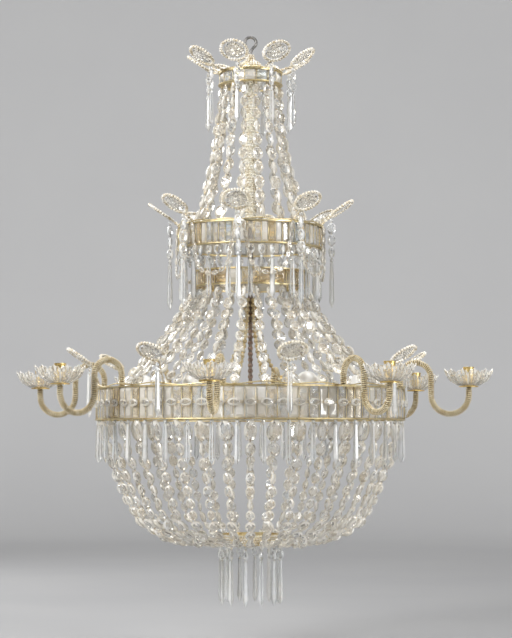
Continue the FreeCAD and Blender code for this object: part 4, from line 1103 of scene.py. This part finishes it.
def room():
    """A wide pale floor that sweeps up into a pale backdrop, far enough to walk round the object."""
    wide, front, back, floor, top = 20.0, -20.0, 6.2, -1.42, 9.0
    bend = 1.6
    profile = [(front, floor), (back - bend, floor)]
    for k in range(1, 16):
        angle = math.pi / 2 * k / 16
        profile.append((back - bend + bend * math.sin(angle), floor + bend - bend * math.cos(angle)))
    profile += [(back, floor + bend), (back, top)]
    verts = [(x, y, z) for y, z in profile for x in (-wide, wide)]
    faces = [[2 * k, 2 * k + 1, 2 * k + 3, 2 * k + 2] for k in range(len(profile) - 1)]
    mesh = bpy.data.meshes.new("studio_sweep")
    mesh.from_pydata(verts, [], faces)
    mesh.polygons.foreach_set("use_smooth", [True] * len(mesh.polygons))
    paper = new_material("pale_paper", Roughness=0.85, Emission_Color=(1, 1, 1, 1))
    tree = paper.node_tree
    shader = tree.nodes["Principled BSDF"]
    colour = ramp(tree, noise(paper, 1.5, 3), [(0.3, 0.40, 0.40, 0.405), (0.7, 0.43, 0.43, 0.43)])
    distance = add_node(tree, "VectorMath", {0: place_node(paper)}, operation="LENGTH").outputs["Value"]
    far = span(tree, distance, 0.0, 0.31, 2.2, 6.2)
    glow = add_node(tree, "Math", {0: far, 1: seen_rays(tree)}, operation="MULTIPLY").outputs["Value"]
    tree.links.new(colour, shader.inputs["Base Color"])
    tree.links.new(glow, shader.inputs["Emission Strength"])
    mesh.materials.append(paper)
    add_object("studio_sweep", mesh)


def lights():
    aim = Vector((0, 0, -0.65))
    for name, place, width, height, power in (("key_light", (-2.6, -2.6, 1.2), 1.2, 1.6, 150),
                                              ("fill_light", (3.0, -2.2, 0.0), 1.0, 1.8, 75),
                                              ("top_light", (0.3, 0.4, 2.3), 1.6, 1.6, 60),
                                              ("back_light", (-1.6, 2.4, 0.8), 0.9, 1.6, 40)):
        data = bpy.data.lights.new(name, "AREA")
        data.shape = "RECTANGLE"
        data.size, data.size_y, data.energy = width, height, power
        light = add_object(name, data)
        light.location = place
        light.rotation_euler = (aim - Vector(place)).to_track_quat("-Z", "Y").to_euler()
    world = bpy.data.worlds.new("studio")
    bpy.context.scene.world = world
    world.use_nodes = True
    tree = world.node_tree
    rays = add_node(tree, "LightPath", {})
    coords = add_node(tree, "TexCoord", {})
    height = add_node(tree, "SeparateXYZ", {"Vector": coords.outputs["Generated"]}).outputs["Z"]
    tones = ((0.0, 0.08), (0.48, 0.12), (0.58, 0.75), (0.8, 0.95), (1.0, 0.5))
    glass_tone = ramp(tree, span(tree, height, 0.0, 1.0, -1.0),
                      [(at, tone, tone * 0.985, tone * 0.95) for at, tone in tones])
    room_tone = blend_colours(tree, rays.outputs["Is Transmission Ray"], (0.17, 0.17, 0.175, 1), glass_tone)
    tone = blend_colours(tree, rays.outputs["Is Camera Ray"], room_tone, (0.40, 0.40, 0.40, 1))
    tree.links.new(tone, tree.nodes["Background"].inputs["Color"])


def camera():
    """The photograph's view: level with the large ring, a little below the middle, looking slightly up."""
    data = bpy.data.cameras.new("camera")
    data.sensor_fit = "VERTICAL"
    half_height, focal = 319, 1798  # in the photo's pixels
    data.angle = 2 * math.atan(half_height / focal)
    data.clip_end = 50
    eye = add_object("camera", data)
    eye.location = (0, -4.1, -0.917)
    eye.rotation_euler = (math.radians(90 + 3.75), 0, math.radians(-0.18))
    bpy.context.scene.camera = eye
    bpy.context.scene.view_settings.view_transform = "Standard"


camera()
room()
lights()
carried_over()
strands()
fringes()
rosette_drops("top", 22, 2, 75)
rosette_drops("middle", 27, 3, 105)
large_drops()
for ring in ROSETTES:
    rosettes(ring)
rosette_stems()
stem()
stays()
rod()
clear_mix = ([pane_crystal, milky_pane_and_highlight, amber_crystal, blue_crystal], (37, 42, 15, 6), "crystal")
ring_panes("top", "ring_panes", *clear_mix)
ring_panes("middle", "ring_panes", *clear_mix)
ring_panes("inner", "inner_ring_panes", [amber_crystal, milky_pane_and_highlight], (70, 30), "amber_crystal")
ring_panes("large", "ring_panes", *clear_mix)
bag_ring()
wavy_wires()
lozenges()
swags()
arms()
cups()
pans()
bulbs()
